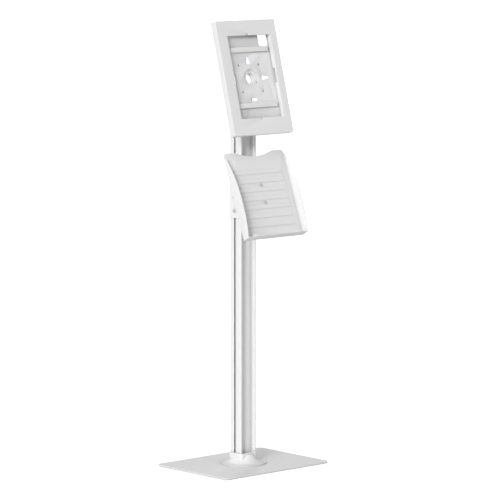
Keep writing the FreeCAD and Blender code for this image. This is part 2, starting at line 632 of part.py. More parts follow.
def make_tilt_fasteners():
    """Bolt, nut, spacer and friction washers of the tilt pivot."""
    rise = -size("pivot_drop")
    depth = -size("pivot_behind_plate")
    cheek_outside = value_of(CHEEK_INSIDE) + size("yoke_cheek")
    turn_left = FreeCAD.Rotation(FreeCAD.Vector(0, 1, 0), -90)
    bolt = screw(
        "tilt_bolt", placed(head_frame, -cheek_outside, rise, depth, turn_left),
        "Sizes.tilt_bolt_radius",
        "2 * (%s + Sizes.yoke_cheek) + Sizes.tilt_nut_thickness" % CHEEK_INSIDE,
        "Sizes.tilt_head_radius", "Sizes.tilt_head_height")
    nut = hex_nut("tilt_nut", placed(head_frame, cheek_outside, rise, depth, TURN_TO_X),
                  "Sizes.tilt_head_radius", "Sizes.tilt_bolt_radius", "Sizes.tilt_nut_thickness")
    bore = "Sizes.tilt_bolt_radius + Sizes.tilt_bolt_gap"
    half_gap = size("post_width") / 2 - size("post_ear")
    spacer = tube("tilt_spacer", upright(-half_gap, pivot.y, pivot.z, TURN_TO_X),
                  "Sizes.spacer_radius", bore, "Sizes.post_width - 2 * Sizes.post_ear")
    washers = [
        tube("friction_washer_%d" % number, placed(head_frame, x, rise, depth, TURN_TO_X),
             "Sizes.washer_radius", bore, "Sizes.washer_thickness")
        for number, x in enumerate((-value_of(CHEEK_INSIDE), size("post_width") / 2))]
    return [bolt, nut, spacer, group("friction_washers", washers)]


def make_turn_hub():
    """Hollow spindle and flange on which the head turns."""
    body = new_body("turn_hub", head_frame)
    flange = new_sketch(body, offset="-" + HUB_BACK)
    add_circle(flange, "0", "0", "Sizes.hub_flange_radius")
    pad(body, flange, "Sizes.hub_flange_thickness")
    spindle = new_sketch(body, offset="-" + HUB_BACK)
    add_circle(spindle, "0", "0", "Sizes.spindle_radius")
    pad(body, spindle, "Sizes.spindle_length", reversed_way=True)
    bore = new_sketch(body, offset="-%s - Sizes.spindle_length" % HUB_BACK)
    add_circle(bore, "0", "0", "Sizes.spindle_bore_radius")
    pocket(body, bore, "Sizes.spindle_length + Sizes.hub_flange_thickness", reversed_way=True)
    holes = new_sketch(body, offset="-" + DIMPLE_BACK)
    for angle in (90, 210, 330):
        add_circle(holes, "Sizes.hub_screw_circle * cos(%d)" % angle,
                   "Sizes.hub_screw_circle * sin(%d)" % angle, "Sizes.hub_screw_radius")
    pocket(body, holes, "Sizes.hub_flange_thickness")
    return body


def make_hub_fasteners():
    """Bearing washer, ring nut and three screws of the turning hub."""
    washer = tube("turn_washer", placed(head_frame, 0, 0, -value_of(YOKE_FRONT)),
                  "Sizes.yoke_plate_radius", "Sizes.spindle_radius + Sizes.turn_gap",
                  "Sizes.washer_thickness")
    nut_place = -value_of(YOKE_BACK) - size("ring_nut_thickness")
    ring = hex_nut("ring_nut", placed(head_frame, 0, 0, nut_place),
                   "Sizes.ring_nut_radius", "Sizes.spindle_radius", "Sizes.ring_nut_thickness")
    screws = []
    reach = size("hub_screw_circle")
    for angle in (90, 210, 330):
        turn = math.radians(angle)
        screws.append(screw(
            "hub_screw_%d" % angle,
            placed(head_frame, reach * math.cos(turn), reach * math.sin(turn),
                   -size("dimple_depth")),
            "Sizes.hub_screw_radius", "Sizes.hub_screw_length", "Sizes.hub_screw_head_radius",
            "Sizes.hub_screw_head_height"))
    return [washer, ring, group("hub_screws", screws)]


def make_back_tray():
    """Sheet back plate of the head, with its rim, dimple, keyholes and hinge knuckles."""
    body = new_body("back_tray", head_frame)
    side = "(%s - Sizes.frame_wall - Sizes.plate_gap)" % HALF_SPAN
    top = "(%s - Sizes.frame_wall - Sizes.plate_gap)" % HALF_HEAD
    low = "(Sizes.plate_drop_gap - %s)" % HALF_HEAD
    plate = new_sketch(body, offset="-" + PLATE_BACK)
    add_rectangle(plate, "-" + side, side, low, top)
    pad(body, plate, "Sizes.plate_thickness + Sizes.plate_rim_height")
    inside = new_sketch(body)
    add_rectangle(inside, "Sizes.plate_rim_wall - %s" % side, "%s - Sizes.plate_rim_wall" % side,
                  "%s + Sizes.plate_rim_wall" % low, "%s - Sizes.plate_rim_wall" % top)
    pocket(body, inside, "Sizes.plate_rim_height", reversed_way=True)
    dimple = new_sketch(body, offset="-" + PLATE_BACK)
    add_circle(dimple, "0", "0", "Sizes.dimple_radius + Sizes.plate_thickness")
    pad(body, dimple, "Sizes.dimple_depth", reversed_way=True)
    recess = new_sketch(body)
    add_circle(recess, "0", "0", "Sizes.dimple_radius")
    pocket(body, recess, "Sizes.dimple_depth")

    rounds = new_sketch(body)
    add_circle(rounds, "0", "0", "Sizes.spindle_bore_radius + Sizes.eye_margin")
    for angle in (90, 210, 330):
        add_circle(rounds, "Sizes.hub_screw_circle * cos(%d)" % angle,
                   "Sizes.hub_screw_circle * sin(%d)" % angle, "Sizes.hub_screw_radius")
    for across in ("-Sizes.insert_spacing / 2", "Sizes.insert_spacing / 2"):
        for rise in ("-Sizes.insert_spacing / 2", "Sizes.insert_spacing / 2"):
            add_circle(rounds, across, rise, "Sizes.insert_radius")
    add_circle(rounds, "0", "Sizes.keyhole_start", "Sizes.keyhole_head_radius")
    add_circle(rounds, "Sizes.side_keyhole_start", "0", "Sizes.keyhole_head_radius")
    add_circle(rounds, "0", LOCK_V, "Sizes.lock_radius")
    pocket(body, rounds, DIMPLE_BACK)

    slots = new_sketch(body)
    add_slot(slots, "Sizes.keyhole_start", "Sizes.keyhole_start + Sizes.keyhole_length",
             "Sizes.keyhole_slot_width / 2")
    half_run = "(Sizes.obround_length - Sizes.obround_width) / 2"
    add_slot(slots, "-" + half_run, half_run, "Sizes.obround_width / 2",
             "-Sizes.obround_drop", upright=False)
    add_slot(slots, "Sizes.side_keyhole_start",
             "Sizes.side_keyhole_start + Sizes.side_keyhole_length",
             "Sizes.keyhole_slot_width / 2", upright=False)
    add_rectangle(slots, "Sizes.side_slot_left", "Sizes.side_slot_right",
                  "Sizes.side_slot_low", "Sizes.side_slot_high")
    pocket(body, slots, "Sizes.plate_thickness")

    camera = new_sketch(body)
    add_rectangle(camera, "Sizes.camera_left", "Sizes.camera_right",
                  "Sizes.camera_low", "Sizes.camera_high")
    pocket(body, camera, "Sizes.plate_thickness")
    lefts = (size("camera_left"), size("camera_right"))
    levels = (size("camera_low"), size("camera_high"))
    round_edges(
        body,
        lambda e: along(e, (0, 0, 1)) and min(abs(e.CenterOfMass.x - x) for x in lefts) < 0.01
        and min(abs(e.CenterOfMass.y - y) for y in levels) < 0.01,
        "Sizes.camera_corner_radius")

    notch = new_sketch(body, offset="Sizes.plate_rim_height")
    start = "Sizes.hinge_offset"
    end = "(Sizes.hinge_offset + Sizes.knuckle_length + 2 * Sizes.knuckle_gap)"
    notch_top = "%s + Sizes.hinge_radius + Sizes.knuckle_gap" % HINGE_V
    add_rectangle(notch, start, end, "-" + HALF_HEAD, notch_top)
    add_rectangle(notch, "-" + end, "-" + start, "-" + HALF_HEAD, notch_top)
    pocket(body, notch, "Sizes.plate_rim_height + Sizes.plate_thickness")
    for sign, way in (("", True), ("-", False)):
        knuckle = new_sketch(body, "YZ_Plane", sign + "Sizes.hinge_offset")
        add_circle(knuckle, HINGE_V, "Sizes.hinge_forward", "Sizes.hinge_radius")
        pad(body, knuckle, "Sizes.knuckle_length", reversed_way=way)
    bore = new_sketch(body, "YZ_Plane")
    add_circle(bore, HINGE_V, "Sizes.hinge_forward", "Sizes.hinge_pin_radius")
    pocket(body, bore, "2 * (Sizes.hinge_offset + Sizes.knuckle_gap)", midplane=True)
    return body


def make_thread_inserts():
    """Four threaded inserts on a square, open towards the tablet."""
    members = []
    half = size("insert_spacing") / 2
    for across in (-half, half):
        for rise in (-half, half):
            members.append(tube(
                "thread_insert_%d" % len(members),
                placed(head_frame, across, rise, -size("insert_length")),
                "Sizes.insert_radius", "Sizes.insert_bore_radius", "Sizes.insert_length"))
    return group("thread_inserts", members)


def make_rail(label, height_expression, base, thickness):
    """Cross strip on the back plate: a metal rail, or the foam strip on top of it."""
    body = new_body(label, head_frame)
    sketch = new_sketch(body, offset=base)
    add_centred_rectangle(sketch, "Sizes.rail_length", "Sizes.rail_height", "0", height_expression)
    pad(body, sketch, thickness)
    round_edges(body, lambda e: along(e, (0, 0, 1)), "Sizes.rail_round")
    return body


def make_rails():
    """Upper and lower rails with their foam strips."""
    made = []
    for name, height in (("upper", "Sizes.upper_rail_rise"), ("lower", "-Sizes.lower_rail_drop")):
        made.append(make_rail(name + "_rail", height, "0", "Sizes.rail_thickness"))
        made.append(make_rail(name + "_foam", height, "Sizes.rail_thickness",
                              "Sizes.foam_thickness"))
    return made


def make_hinge_pins():
    """Two pins that join the front frame to the back tray."""
    members = []
    inner = size("hinge_offset") - size("knuckle_length")
    outer = size("hinge_offset") + size("knuckle_gap") + size("knuckle_length")
    v = value_of(HINGE_V)
    for name, start in (("left", -outer), ("right", inner)):
        pin = primitive(
            "Cylinder", "hinge_pin_" + name,
            placed(head_frame, start, v, size("hinge_forward"), TURN_TO_X),
            Radius="Sizes.hinge_pin_radius",
            Height="2 * Sizes.knuckle_length + Sizes.knuckle_gap")
        members.append(pin)
    return group("hinge_pins", members)


def make_lock():
    """Cam lock whose key goes in from behind: body, nut, plug, cam and cam screw."""
    u, v = 0, value_of(LOCK_V)
    body = new_body("lock_body", placed(head_frame, u, v, 0))
    head = new_sketch(body, offset="-%s" % PLATE_BACK)
    add_circle(head, "0", "0", "Sizes.lock_head_radius")
    pad(body, head, "Sizes.lock_head_height", reversed_way=True)
    barrel = new_sketch(body, offset="-%s" % PLATE_BACK)
    add_circle(barrel, "0", "0", "Sizes.lock_radius")
    pad(body, barrel, "Sizes.plate_thickness + Sizes.lock_front")
    bore = new_sketch(body, offset="Sizes.lock_front")
    add_circle(bore, "0", "0", "Sizes.plug_radius + Sizes.plug_gap")
    pocket(body, bore, "Sizes.lock_front + Sizes.plate_thickness + Sizes.lock_head_height")
    nut = hex_nut("lock_nut", placed(head_frame, u, v, 0), "Sizes.lock_nut_radius",
                  "Sizes.lock_radius", "Sizes.lock_nut_thickness")

    plug = new_body("lock_plug", placed(head_frame, u, v, 0))
    back = "(Sizes.plate_thickness + Sizes.lock_head_height + Sizes.plug_proud)"
    core = new_sketch(plug, offset="-" + back)
    add_circle(core, "0", "0", "Sizes.plug_radius")
    cam_base = "(Sizes.lock_front + Sizes.cam_gap)"
    pad(plug, core, "%s + %s" % (back, cam_base))
    keyway = new_sketch(plug, offset="-" + back)
    add_centred_rectangle(keyway, "Sizes.keyway_width", "Sizes.keyway_length")
    pocket(plug, keyway, "Sizes.keyway_depth", reversed_way=True)
    thread = new_sketch(plug, offset=cam_base)
    add_circle(thread, "0", "0", "Sizes.cam_screw_radius")
    pocket(plug, thread, "Sizes.cam_screw_length")

    cam = new_body("lock_cam", placed(head_frame, u, v, 0))
    blade = new_sketch(cam, offset=cam_base)
    add_rectangle(blade, "-Sizes.cam_width / 2", "Sizes.cam_reach",
                  "-Sizes.cam_width / 2", "Sizes.cam_width / 2")
    pad(cam, blade, "Sizes.cam_thickness")
    round_edges(cam, lambda e: along(e, (0, 0, 1)), "Sizes.cam_round")
    eye = new_sketch(cam, offset=cam_base)
    add_circle(eye, "0", "0", "Sizes.cam_screw_radius")
    pocket(cam, eye, "Sizes.cam_thickness", reversed_way=True)
    cam_top = value_of(cam_base) + size("cam_thickness")
    fixing = screw("cam_screw", placed(head_frame, u, v, cam_top), "Sizes.cam_screw_radius",
                   "Sizes.cam_thickness + Sizes.cam_screw_length",
                   "Sizes.cam_screw_head_radius", "Sizes.cam_screw_head_height")
    return [body, nut, plug, cam, fixing]


def make_front_frame():
    """Hollow front frame of the head, with its window and hinge knuckles."""
    body = new_body("front_frame", head_frame)
    block = new_sketch(body, offset="-" + PLATE_BACK)
    add_centred_rectangle(block, "Sizes.head_width", "Sizes.head_height")
    pad(body, block, "Sizes.head_depth")
    round_edges(body, lambda e: along(e, (0, 0, 1)), "Sizes.head_corner_radius")
    front = value_of(FRONT_FACE)
    round_edges(body, lambda e: lies_at_height(e, front), "Sizes.head_edge_round")
    hollow = new_sketch(body, offset="-" + PLATE_BACK)
    add_centred_rectangle(hollow, "(Sizes.head_width - 2 * Sizes.frame_wall)",
                          "(Sizes.head_height - 2 * Sizes.frame_wall)")
    pocket(body, hollow, "Sizes.head_depth - Sizes.frame_wall", reversed_way=True)
    wall = "Sizes.window_flange_wall"
    flange = new_sketch(body, offset="%s - Sizes.window_flange" % FRONT_FACE)
    add_rectangle(flange, "%s - %s" % (WINDOW_LEFT, wall), "%s + %s" % (WINDOW_RIGHT, wall),
                  "%s - %s" % (WINDOW_LOW, wall), "%s + %s" % (WINDOW_TOP, wall))
    pad(body, flange, "Sizes.window_flange - Sizes.frame_wall / 2")
    deep = new_sketch(body, offset="%s - Sizes.side_flange" % FRONT_FACE)
    add_rectangle(deep, "%s - Sizes.window_corner_radius" % WINDOW_RIGHT,
                  "%s + %s" % (WINDOW_RIGHT, wall),
                  "%s - %s" % (WINDOW_LOW, wall), "%s + %s" % (WINDOW_TOP, wall))
    pad(body, deep, "Sizes.side_flange - Sizes.frame_wall / 2")
    window = new_sketch(body, offset=FRONT_FACE)
    add_rectangle(window, WINDOW_LEFT, WINDOW_RIGHT, WINDOW_LOW, WINDOW_TOP)
    pocket(body, window, "Sizes.side_flange")
    sides = (value_of(WINDOW_LEFT), value_of(WINDOW_RIGHT))
    levels = (value_of(WINDOW_LOW), value_of(WINDOW_TOP))
    round_edges(
        body,
        lambda e: along(e, (0, 0, 1)) and min(abs(e.CenterOfMass.x - x) for x in sides) < 0.01
        and min(abs(e.CenterOfMass.y - y) for y in levels) < 0.01,
        "Sizes.window_corner_radius")
    round_edges(
        body,
        lambda e: lies_at_height(e, front) and sides[0] - 0.01 < e.CenterOfMass.x < sides[1] + 0.01
        and levels[0] - 0.01 < e.CenterOfMass.y < levels[1] + 0.01,
        "Sizes.window_edge_round")
    notch = new_sketch(body, offset=FRONT_FACE)
    for level in (WINDOW_LOW, WINDOW_TOP):
        add_rectangle(notch, "-Sizes.notch_width / 2", "Sizes.notch_width / 2",
                      "%s - Sizes.notch_depth" % level, "%s + Sizes.notch_depth" % level)
    pocket(body, notch, "Sizes.window_flange")
    gap = new_sketch(body, offset="%s - Sizes.side_flange" % FRONT_FACE)
    add_rectangle(gap, "%s - %s" % (WINDOW_RIGHT, wall), "%s + 2 * %s" % (WINDOW_RIGHT, wall),
                  "Sizes.side_notch_low", "Sizes.side_notch_high")
    pocket(body, gap, "Sizes.side_notch_depth", reversed_way=True)
    wall_inside = "(Sizes.frame_wall - %s)" % HALF_HEAD
    for sign, way in (("", False), ("-", True)):
        place = sign + "(Sizes.hinge_offset + Sizes.knuckle_gap)"
        web = new_sketch(body, "YZ_Plane", place)
        add_rectangle(web, "%s - Sizes.frame_wall / 2" % wall_inside, HINGE_V,
                      "Sizes.hinge_forward - Sizes.hinge_radius",
                      "Sizes.hinge_forward + Sizes.hinge_radius")
        pad(body, web, "Sizes.knuckle_length", reversed_way=way)
        knuckle = new_sketch(body, "YZ_Plane", place)
        add_circle(knuckle, HINGE_V, "Sizes.hinge_forward", "Sizes.hinge_radius")
        pad(body, knuckle, "Sizes.knuckle_length", reversed_way=way)
    bore = new_sketch(body, "YZ_Plane")
    add_circle(bore, HINGE_V, "Sizes.hinge_forward",
               "Sizes.hinge_pin_radius + Sizes.hinge_pin_gap")
    pocket(body, bore, "2 * (Sizes.hinge_offset + 2 * Sizes.knuckle_gap + Sizes.knuckle_length)",
           midplane=True)
    return body


def make_frame_catch():
    """Angle inside the frame's top wall that the lock's cam holds."""
    body = new_body("frame_catch", head_frame)
    sketch = new_sketch(body, "YZ_Plane")
    wall = "(%s - Sizes.frame_wall)" % HALF_HEAD
    add_outline(sketch, [
        (wall, "Sizes.catch_forward"), (wall, FRAME_INSIDE),
        ("%s - Sizes.catch_thickness" % wall, FRAME_INSIDE),
        ("%s - Sizes.catch_thickness" % wall, "Sizes.catch_forward + Sizes.catch_thickness"),
        ("%s - Sizes.catch_reach" % wall, "Sizes.catch_forward + Sizes.catch_thickness"),
        ("%s - Sizes.catch_reach" % wall, "Sizes.catch_forward")])
    pad(body, sketch, "Sizes.catch_width", midplane=True)
    return body


# Brochure tray: local Y runs up the panel from its foot and local Z stands out of it
def make_brochure_tray():
    """Folded sheet tray: leaning panel, side wings, tilted shelf with tabs, pressed ridges."""
    body = new_body("brochure_tray", tray_frame)
    half = "(Sizes.tray_width / 2)"
    panel = new_sketch(body)
    add_outline(panel, [
        ("-" + half, "0"), (half, "0"), (half, "Sizes.tray_length"),
        ("Sizes.dip_half_width", "Sizes.tray_length", "-Sizes.dip_depth"),
        ("-Sizes.dip_half_width", "Sizes.tray_length"), ("-" + half, "Sizes.tray_length")])
    pad(body, panel, "Sizes.tray_sheet", reversed_way=True)
    reach = size("tray_length")
    for place, radius in ((size("tray_width") / 2, "Sizes.tray_corner_radius"),
                          (size("dip_half_width"), "Sizes.dip_corner_radius")):
        round_edges(
            body,
            lambda e: along(e, (0, 0, 1)) and abs(abs(e.CenterOfMass.x) - place) < 0.01
            and abs(e.CenterOfMass.y - reach) < 0.01,
            radius)

    # The shelf leaves the panel's foot and rises forward; each point is a run along it
    # and a height above its underside
    def shelf_point(run, above):
        """Upward and outward places of a point given in the shelf's own directions."""
        return ("(%s) * sin(Sizes.shelf_tilt) + (%s) * cos(Sizes.shelf_tilt)" % (run, above),
                "(%s) * cos(Sizes.shelf_tilt) - (%s) * sin(Sizes.shelf_tilt) - Sizes.tray_sheet"
                % (run, above))

    depth = "Sizes.shelf_depth"
    sheet_edge = "%s - Sizes.tray_sheet" % depth
    shelf = new_sketch(body, "YZ_Plane")
    add_outline(shelf, [
        ("0", "-Sizes.tray_sheet"), shelf_point(depth, "0"),
        shelf_point(depth, "Sizes.tray_sheet"),
        ("Sizes.tray_sheet / cos(Sizes.shelf_tilt)", "-Sizes.tray_sheet")])
    pad(body, shelf, "Sizes.tray_width", midplane=True)
    for sign, way in (("", True), ("-", False)):
        near = "%s(Sizes.tab_offset + Sizes.tab_width / 2)" % sign
        tab = new_sketch(body, "YZ_Plane", near)
        add_outline(tab, [
            shelf_point(depth, "0"), shelf_point(depth, "Sizes.tab_height"),
            shelf_point(sheet_edge, "Sizes.tab_height"), shelf_point(sheet_edge, "0")])
        pad(body, tab, "Sizes.tab_width", reversed_way=way)
    wing_foot = "(Sizes.wing_bottom + Sizes.tray_sheet) * tan(Sizes.shelf_tilt)"
    for sign, way in (("", True), ("-", False)):
        wing = new_sketch(body, "YZ_Plane", sign + half)
        add_outline(wing, [
            ("0", "-Sizes.tray_sheet"), (wing_foot, "Sizes.wing_bottom", "Sizes.wing_bottom_bulge"),
            ("Sizes.wing_middle_rise", "Sizes.wing_middle", "Sizes.wing_top_bulge"),
            ("Sizes.wing_top_rise", "Sizes.wing_top"), ("Sizes.wing_end_rise", "0"),
            ("Sizes.wing_end_rise", "-Sizes.tray_sheet")])
        pad(body, wing, "Sizes.tray_sheet", reversed_way=way)
    straight = "(Sizes.ridge_length / 2 - Sizes.ridge_half_height)"
    for number in range(int(size("ridge_count"))):
        ridge = new_sketch(body)
        add_slot(ridge, "-" + straight, straight, "Sizes.ridge_half_height",
                 "(Sizes.ridge_start + %d * Sizes.ridge_pitch)" % number, upright=False)
        pad(body, ridge, "Sizes.ridge_proud")
    proud = size("ridge_proud")
    round_edges(body, lambda e: lies_at_height(e, proud), "Sizes.ridge_edge_round")
    holes = new_sketch(body)
    for height in ("Sizes.tray_screw_upper_rise", "Sizes.tray_screw_lower_rise"):
        add_circle(holes, "0", height, "Sizes.tray_screw_radius")
    pocket(body, holes, "Sizes.tray_sheet")
    return body


def make_tray_bracket():
    """Folded bracket: two cheeks on the column's sides and a web behind the panel."""
    body = new_body("tray_bracket")
    outer = new_sketch(body, "YZ_Plane")
    lean = "tan(Sizes.tray_lean)"
    back = "Sizes.tray_sheet / cos(Sizes.tray_lean)"
    web = "Sizes.bracket_sheet / cos(Sizes.tray_lean)"
    low = "(%s - Sizes.bracket_low_drop)" % TRAY_TOP
    high = "(%s - Sizes.bracket_high_drop)" % TRAY_TOP

    def behind_panel(height, extra="0"):
        """Y place of the panel's back, or of a line a little behind it, at a height."""
        return "(%s + %s - Sizes.tray_top_forward - (%s - %s) * %s)" % (
            back, extra, TRAY_TOP, height, lean)

    add_outline(outer, [
        (behind_panel(low), low), (HALF_DEPTH, low), (HALF_DEPTH, high),
        (behind_panel(high), high)])
    inside = "(Sizes.column_width + 2 * Sizes.bracket_gap)"
    pad(body, outer, "%s + 2 * Sizes.bracket_sheet" % inside, midplane=True)
    inner = new_sketch(body, "YZ_Plane")
    below = "(%s - Sizes.bracket_sheet)" % low
    above = "(%s + Sizes.bracket_sheet)" % high
    past = "(%s + Sizes.bracket_sheet)" % HALF_DEPTH
    add_outline(inner, [
        (behind_panel(below, web), below), (past, below), (past, above),
        (behind_panel(above, web), above)])
    pocket(body, inner, inside, midplane=True)
    bores = new_sketch(body, "YZ_Plane")
    for drop in SIDE_SCREW_DROPS:
        add_circle(bores, SLOT_Y, "%s - Sizes.%s" % (TRAY_TOP, drop), "Sizes.side_screw_radius")
    pocket(body, bores, "2 * Sizes.column_width", midplane=True)
    holes = sketch_in_frame(body, tray_frame)
    for rise in ("Sizes.tray_screw_upper_rise", "Sizes.tray_screw_lower_rise"):
        add_circle(holes, "0", rise, "Sizes.tray_screw_radius")
    pocket(body, holes, "2 * (Sizes.tray_sheet + Sizes.bracket_sheet)")
    return body


def make_tray_fasteners():
    """Screws and nuts that join the tray, its bracket and the column's side slots."""
    front_screws = []
    front_nuts = []
    web_back = size("tray_sheet") + size("bracket_sheet")
    grip = "Sizes.tray_sheet + Sizes.bracket_sheet + Sizes.tray_nut_thickness"
    for name in ("tray_screw_upper_rise", "tray_screw_lower_rise"):
        rise = size(name)
        front_screws.append(screw(
            name, placed(tray_frame, 0, rise, 0), "Sizes.tray_screw_radius",
            grip, "Sizes.tray_screw_head_radius", "Sizes.tray_screw_head_height"))
        front_nuts.append(hex_nut(
            name + "_nut", placed(tray_frame, 0, rise, -web_back - size("tray_nut_thickness")),
            "Sizes.tray_nut_radius", "Sizes.tray_screw_radius", "Sizes.tray_nut_thickness"))
    side_screws = []
    slot_nuts = []
    face = size("column_width") / 2 + size("bracket_gap") + size("bracket_sheet")
    reach = "Sizes.bracket_sheet + Sizes.bracket_gap + Sizes.slot_lip + Sizes.slot_cavity_depth"
    nut_start = size("column_width") / 2 - size("slot_lip") - size("slot_nut_gap")
    for side, turn in ((1, TURN_TO_X), (-1, FreeCAD.Rotation(FreeCAD.Vector(0, 1, 0), -90))):
        for drop in SIDE_SCREW_DROPS:
            height = value_of(TRAY_TOP) - size(drop)
            name = "%s_%s" % (drop, "right" if side > 0 else "left")
            side_screws.append(screw(
                name, upright(side * face, slot_y, height, turn),
                "Sizes.side_screw_radius", "%s - Sizes.slot_nut_gap" % reach,
                "Sizes.side_screw_head_radius", "Sizes.side_screw_head_height"))
            block = primitive(
                "Box", name + "_block", None, Length="Sizes.slot_nut_length",
                Width="Sizes.slot_cavity_width - 2 * Sizes.slot_nut_gap",
                Height="Sizes.slot_cavity_depth - 2 * Sizes.slot_nut_gap")
            for axis, key in (("x", "Length"), ("y", "Width"), ("z", "Height")):
                share = "-%s / 2" if axis != "z" else "-%s"
                block.setExpression(".Placement.Base." + axis, share % (block.Name + "." + key))
            hole = primitive("Cylinder", name + "_thread", None, Radius="Sizes.side_screw_radius",
                             Height="Sizes.slot_cavity_depth")
            hole.setExpression(".Placement.Base.z", "-Sizes.slot_cavity_depth")
            nut = boolean("Cut", name + "_slot_nut", block, hole)
            nut.Placement = upright(side * nut_start, slot_y, height, turn)
            slot_nuts.append(nut)
    return [group("tray_screws", front_screws), group("tray_nuts", front_nuts),
            group("side_screws", side_screws), group("slot_nuts", slot_nuts)]


nodes = [
    make_floor_mat(), make_base_plate(), make_base_bolts(), make_foot_collar(),
    make_column_profile(), make_cable_cover(), make_column_cap(), make_tilt_post(),
    make_post_screws(), make_tilt_yoke(), *make_tilt_fasteners(), make_turn_hub(),
    *make_hub_fasteners(), make_back_tray(), make_thread_inserts(), *make_rails(),
    make_hinge_pins(), *make_lock(), make_front_frame(), make_frame_catch(),
    make_brochure_tray(), make_tray_bracket(), *make_tray_fasteners(),
]
doc.recompute()

for item in doc.Objects:
    if "Invalid" in item.State or "Error" in item.State:
        raise ValueError("%s failed: %s" % (item.Label, item.State))
for node in nodes:
    if node.Shape.isNull() or not node.Shape.isValid():
        raise ValueError("%s has no valid shape" % node.Label)

os.makedirs("parts", exist_ok=True)
for node in nodes:
    node.Shape.exportStep(os.path.join("parts", node.Label + ".step"))
    print("%-18s %2d solids %10.1f mm3" % (
        node.Label, len(node.Shape.Solids), node.Shape.Volume))
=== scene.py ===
"""Looks of a floor-standing tablet holder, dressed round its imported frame.

The stand, the leaning head and the brochure tray come from the frame at their real size.
This file draws the column's extrusions again with eased corners, softens the folded sheets,
sets the screws and inserts out one by one and gives every surface its finish.
Lengths are in metres.
"""

import json
import logging
import math
from dataclasses import dataclass
from enum import Enum
from typing import Callable, Iterable, Sequence

import bmesh
import bpy
from mathutils import Matrix, Vector

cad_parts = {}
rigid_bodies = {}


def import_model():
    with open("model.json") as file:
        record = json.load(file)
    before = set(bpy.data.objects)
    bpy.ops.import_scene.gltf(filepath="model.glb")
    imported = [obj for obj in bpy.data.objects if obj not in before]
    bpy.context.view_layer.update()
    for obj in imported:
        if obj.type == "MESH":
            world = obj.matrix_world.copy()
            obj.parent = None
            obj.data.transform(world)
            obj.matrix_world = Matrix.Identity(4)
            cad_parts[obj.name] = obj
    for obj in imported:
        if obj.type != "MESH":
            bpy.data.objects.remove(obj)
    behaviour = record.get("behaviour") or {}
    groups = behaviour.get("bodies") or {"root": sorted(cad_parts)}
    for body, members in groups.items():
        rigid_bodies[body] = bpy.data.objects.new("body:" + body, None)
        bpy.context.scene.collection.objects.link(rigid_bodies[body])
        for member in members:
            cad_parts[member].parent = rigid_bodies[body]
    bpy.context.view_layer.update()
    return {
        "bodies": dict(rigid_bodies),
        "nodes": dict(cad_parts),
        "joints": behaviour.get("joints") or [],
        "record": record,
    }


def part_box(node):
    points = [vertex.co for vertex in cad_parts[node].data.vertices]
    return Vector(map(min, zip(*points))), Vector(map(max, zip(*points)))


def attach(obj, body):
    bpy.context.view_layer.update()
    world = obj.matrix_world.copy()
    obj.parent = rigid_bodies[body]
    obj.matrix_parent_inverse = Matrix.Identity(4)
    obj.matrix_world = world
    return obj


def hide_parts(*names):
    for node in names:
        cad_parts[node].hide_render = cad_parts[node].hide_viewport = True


LOG = logging.getLogger("tablet_holder")
MM = 0.001
PHOTO_PIXELS = 500
SENSOR_WIDTH_MM = 36.0

# How far the camera sees and how far off a lamp hangs.
VIEW_END = 100.0
LAMP_AWAY = 6.0

# Steps of the mesh work: welding, cleaning flats, rounding folds and shading.
WELD_DISTANCE = 2e-6
LEVEL_SLACK = 1e-6
FLAT_DEGREES = 0.6
FOLD_DEGREES = 32.0
SMOOTH_DEGREES = 35.0
SORT_DIGITS = 5
CORNER_POINTS = 3
UPRIGHT_NORMAL = 0.5


# Fields of the skin's grain as name, scale and detail, how edge wear with its painted highlight reads,
# and how the painted shade in creases reads.
GRAIN_FIELDS = (("peel", None, 3.0), ("cloud", 14.0, 4.0), ("speck", 420.0, 1.0))
CLOUD_SHARE = 0.65
SPECK_SHARE = 0.35
NOISE_MIDDLE = 0.5
WEAR_STARTS = 0.52
WEAR_FULL = 0.62
WEAR_DETAIL = 2.0
LINE_DETAIL = 3.0
CREASE_RAYS = 8
CREASE_FULL = 0.5
PAINTED_SHADE_TONE = 0.4
CLEAR_ROUGHNESS = 0.12

Colour = tuple[float, float, float]
Radius = Callable[[float], float]


class Gloss(Enum):
    """How a coated or moulded surface shines."""

    CHALKY = 0.85
    MATT = 0.62
    SATIN = 0.46
    SILK = 0.36
    POLISHED = 0.16


class Drive(Enum):
    """What a screwdriver finds in a screw's head."""

    CROSS = "cross"
    HEX = "hex"


class NodeShelf:
    """Small helper that adds nodes to one tree and wires them."""

    def __init__(self, tree: bpy.types.NodeTree) -> None:
        """Keep the tree that the nodes go into."""
        self.tree = tree

    def add(self, kind: str, **settings: object) -> bpy.types.Node:
        """Add a node and set its plain properties.

        Args:
            kind: Blender's name of the node type.
            **settings: properties of the node, such as operation.

        Returns:
            The new node.
        """
        node = self.tree.nodes.new(kind)
        for name, value in settings.items():
            setattr(node, name, value)
        return node

    def wire(self, start: bpy.types.NodeSocket, end: bpy.types.NodeSocket) -> None:
        """Join an output socket to an input socket."""
        self.tree.links.new(start, end)

    def math(self, operation: str, first: object, second: object,
             third: object = None) -> bpy.types.NodeSocket:
        """Add a Math node whose inputs are sockets or plain numbers.

        Args:
            operation: the Math node's operation.
            first: the first input.
            second: the second input.
            third: the third input, where the operation has one.

        Returns:
            The node's output.
        """
        node = self.add("ShaderNodeMath", operation=operation)
        for place, value in zip(node.inputs, (first, second, third)):
            if isinstance(value, bpy.types.NodeSocket):
                self.wire(value, place)
            elif value is not None:
                place.default_value = value
        return node.outputs[0]


def live(sockets: Iterable[bpy.types.NodeSocket], name: str) -> bpy.types.NodeSocket:
    """Find the socket of a name that the node's present settings use."""
    return next(socket for socket in sockets if socket.name == name and socket.enabled)


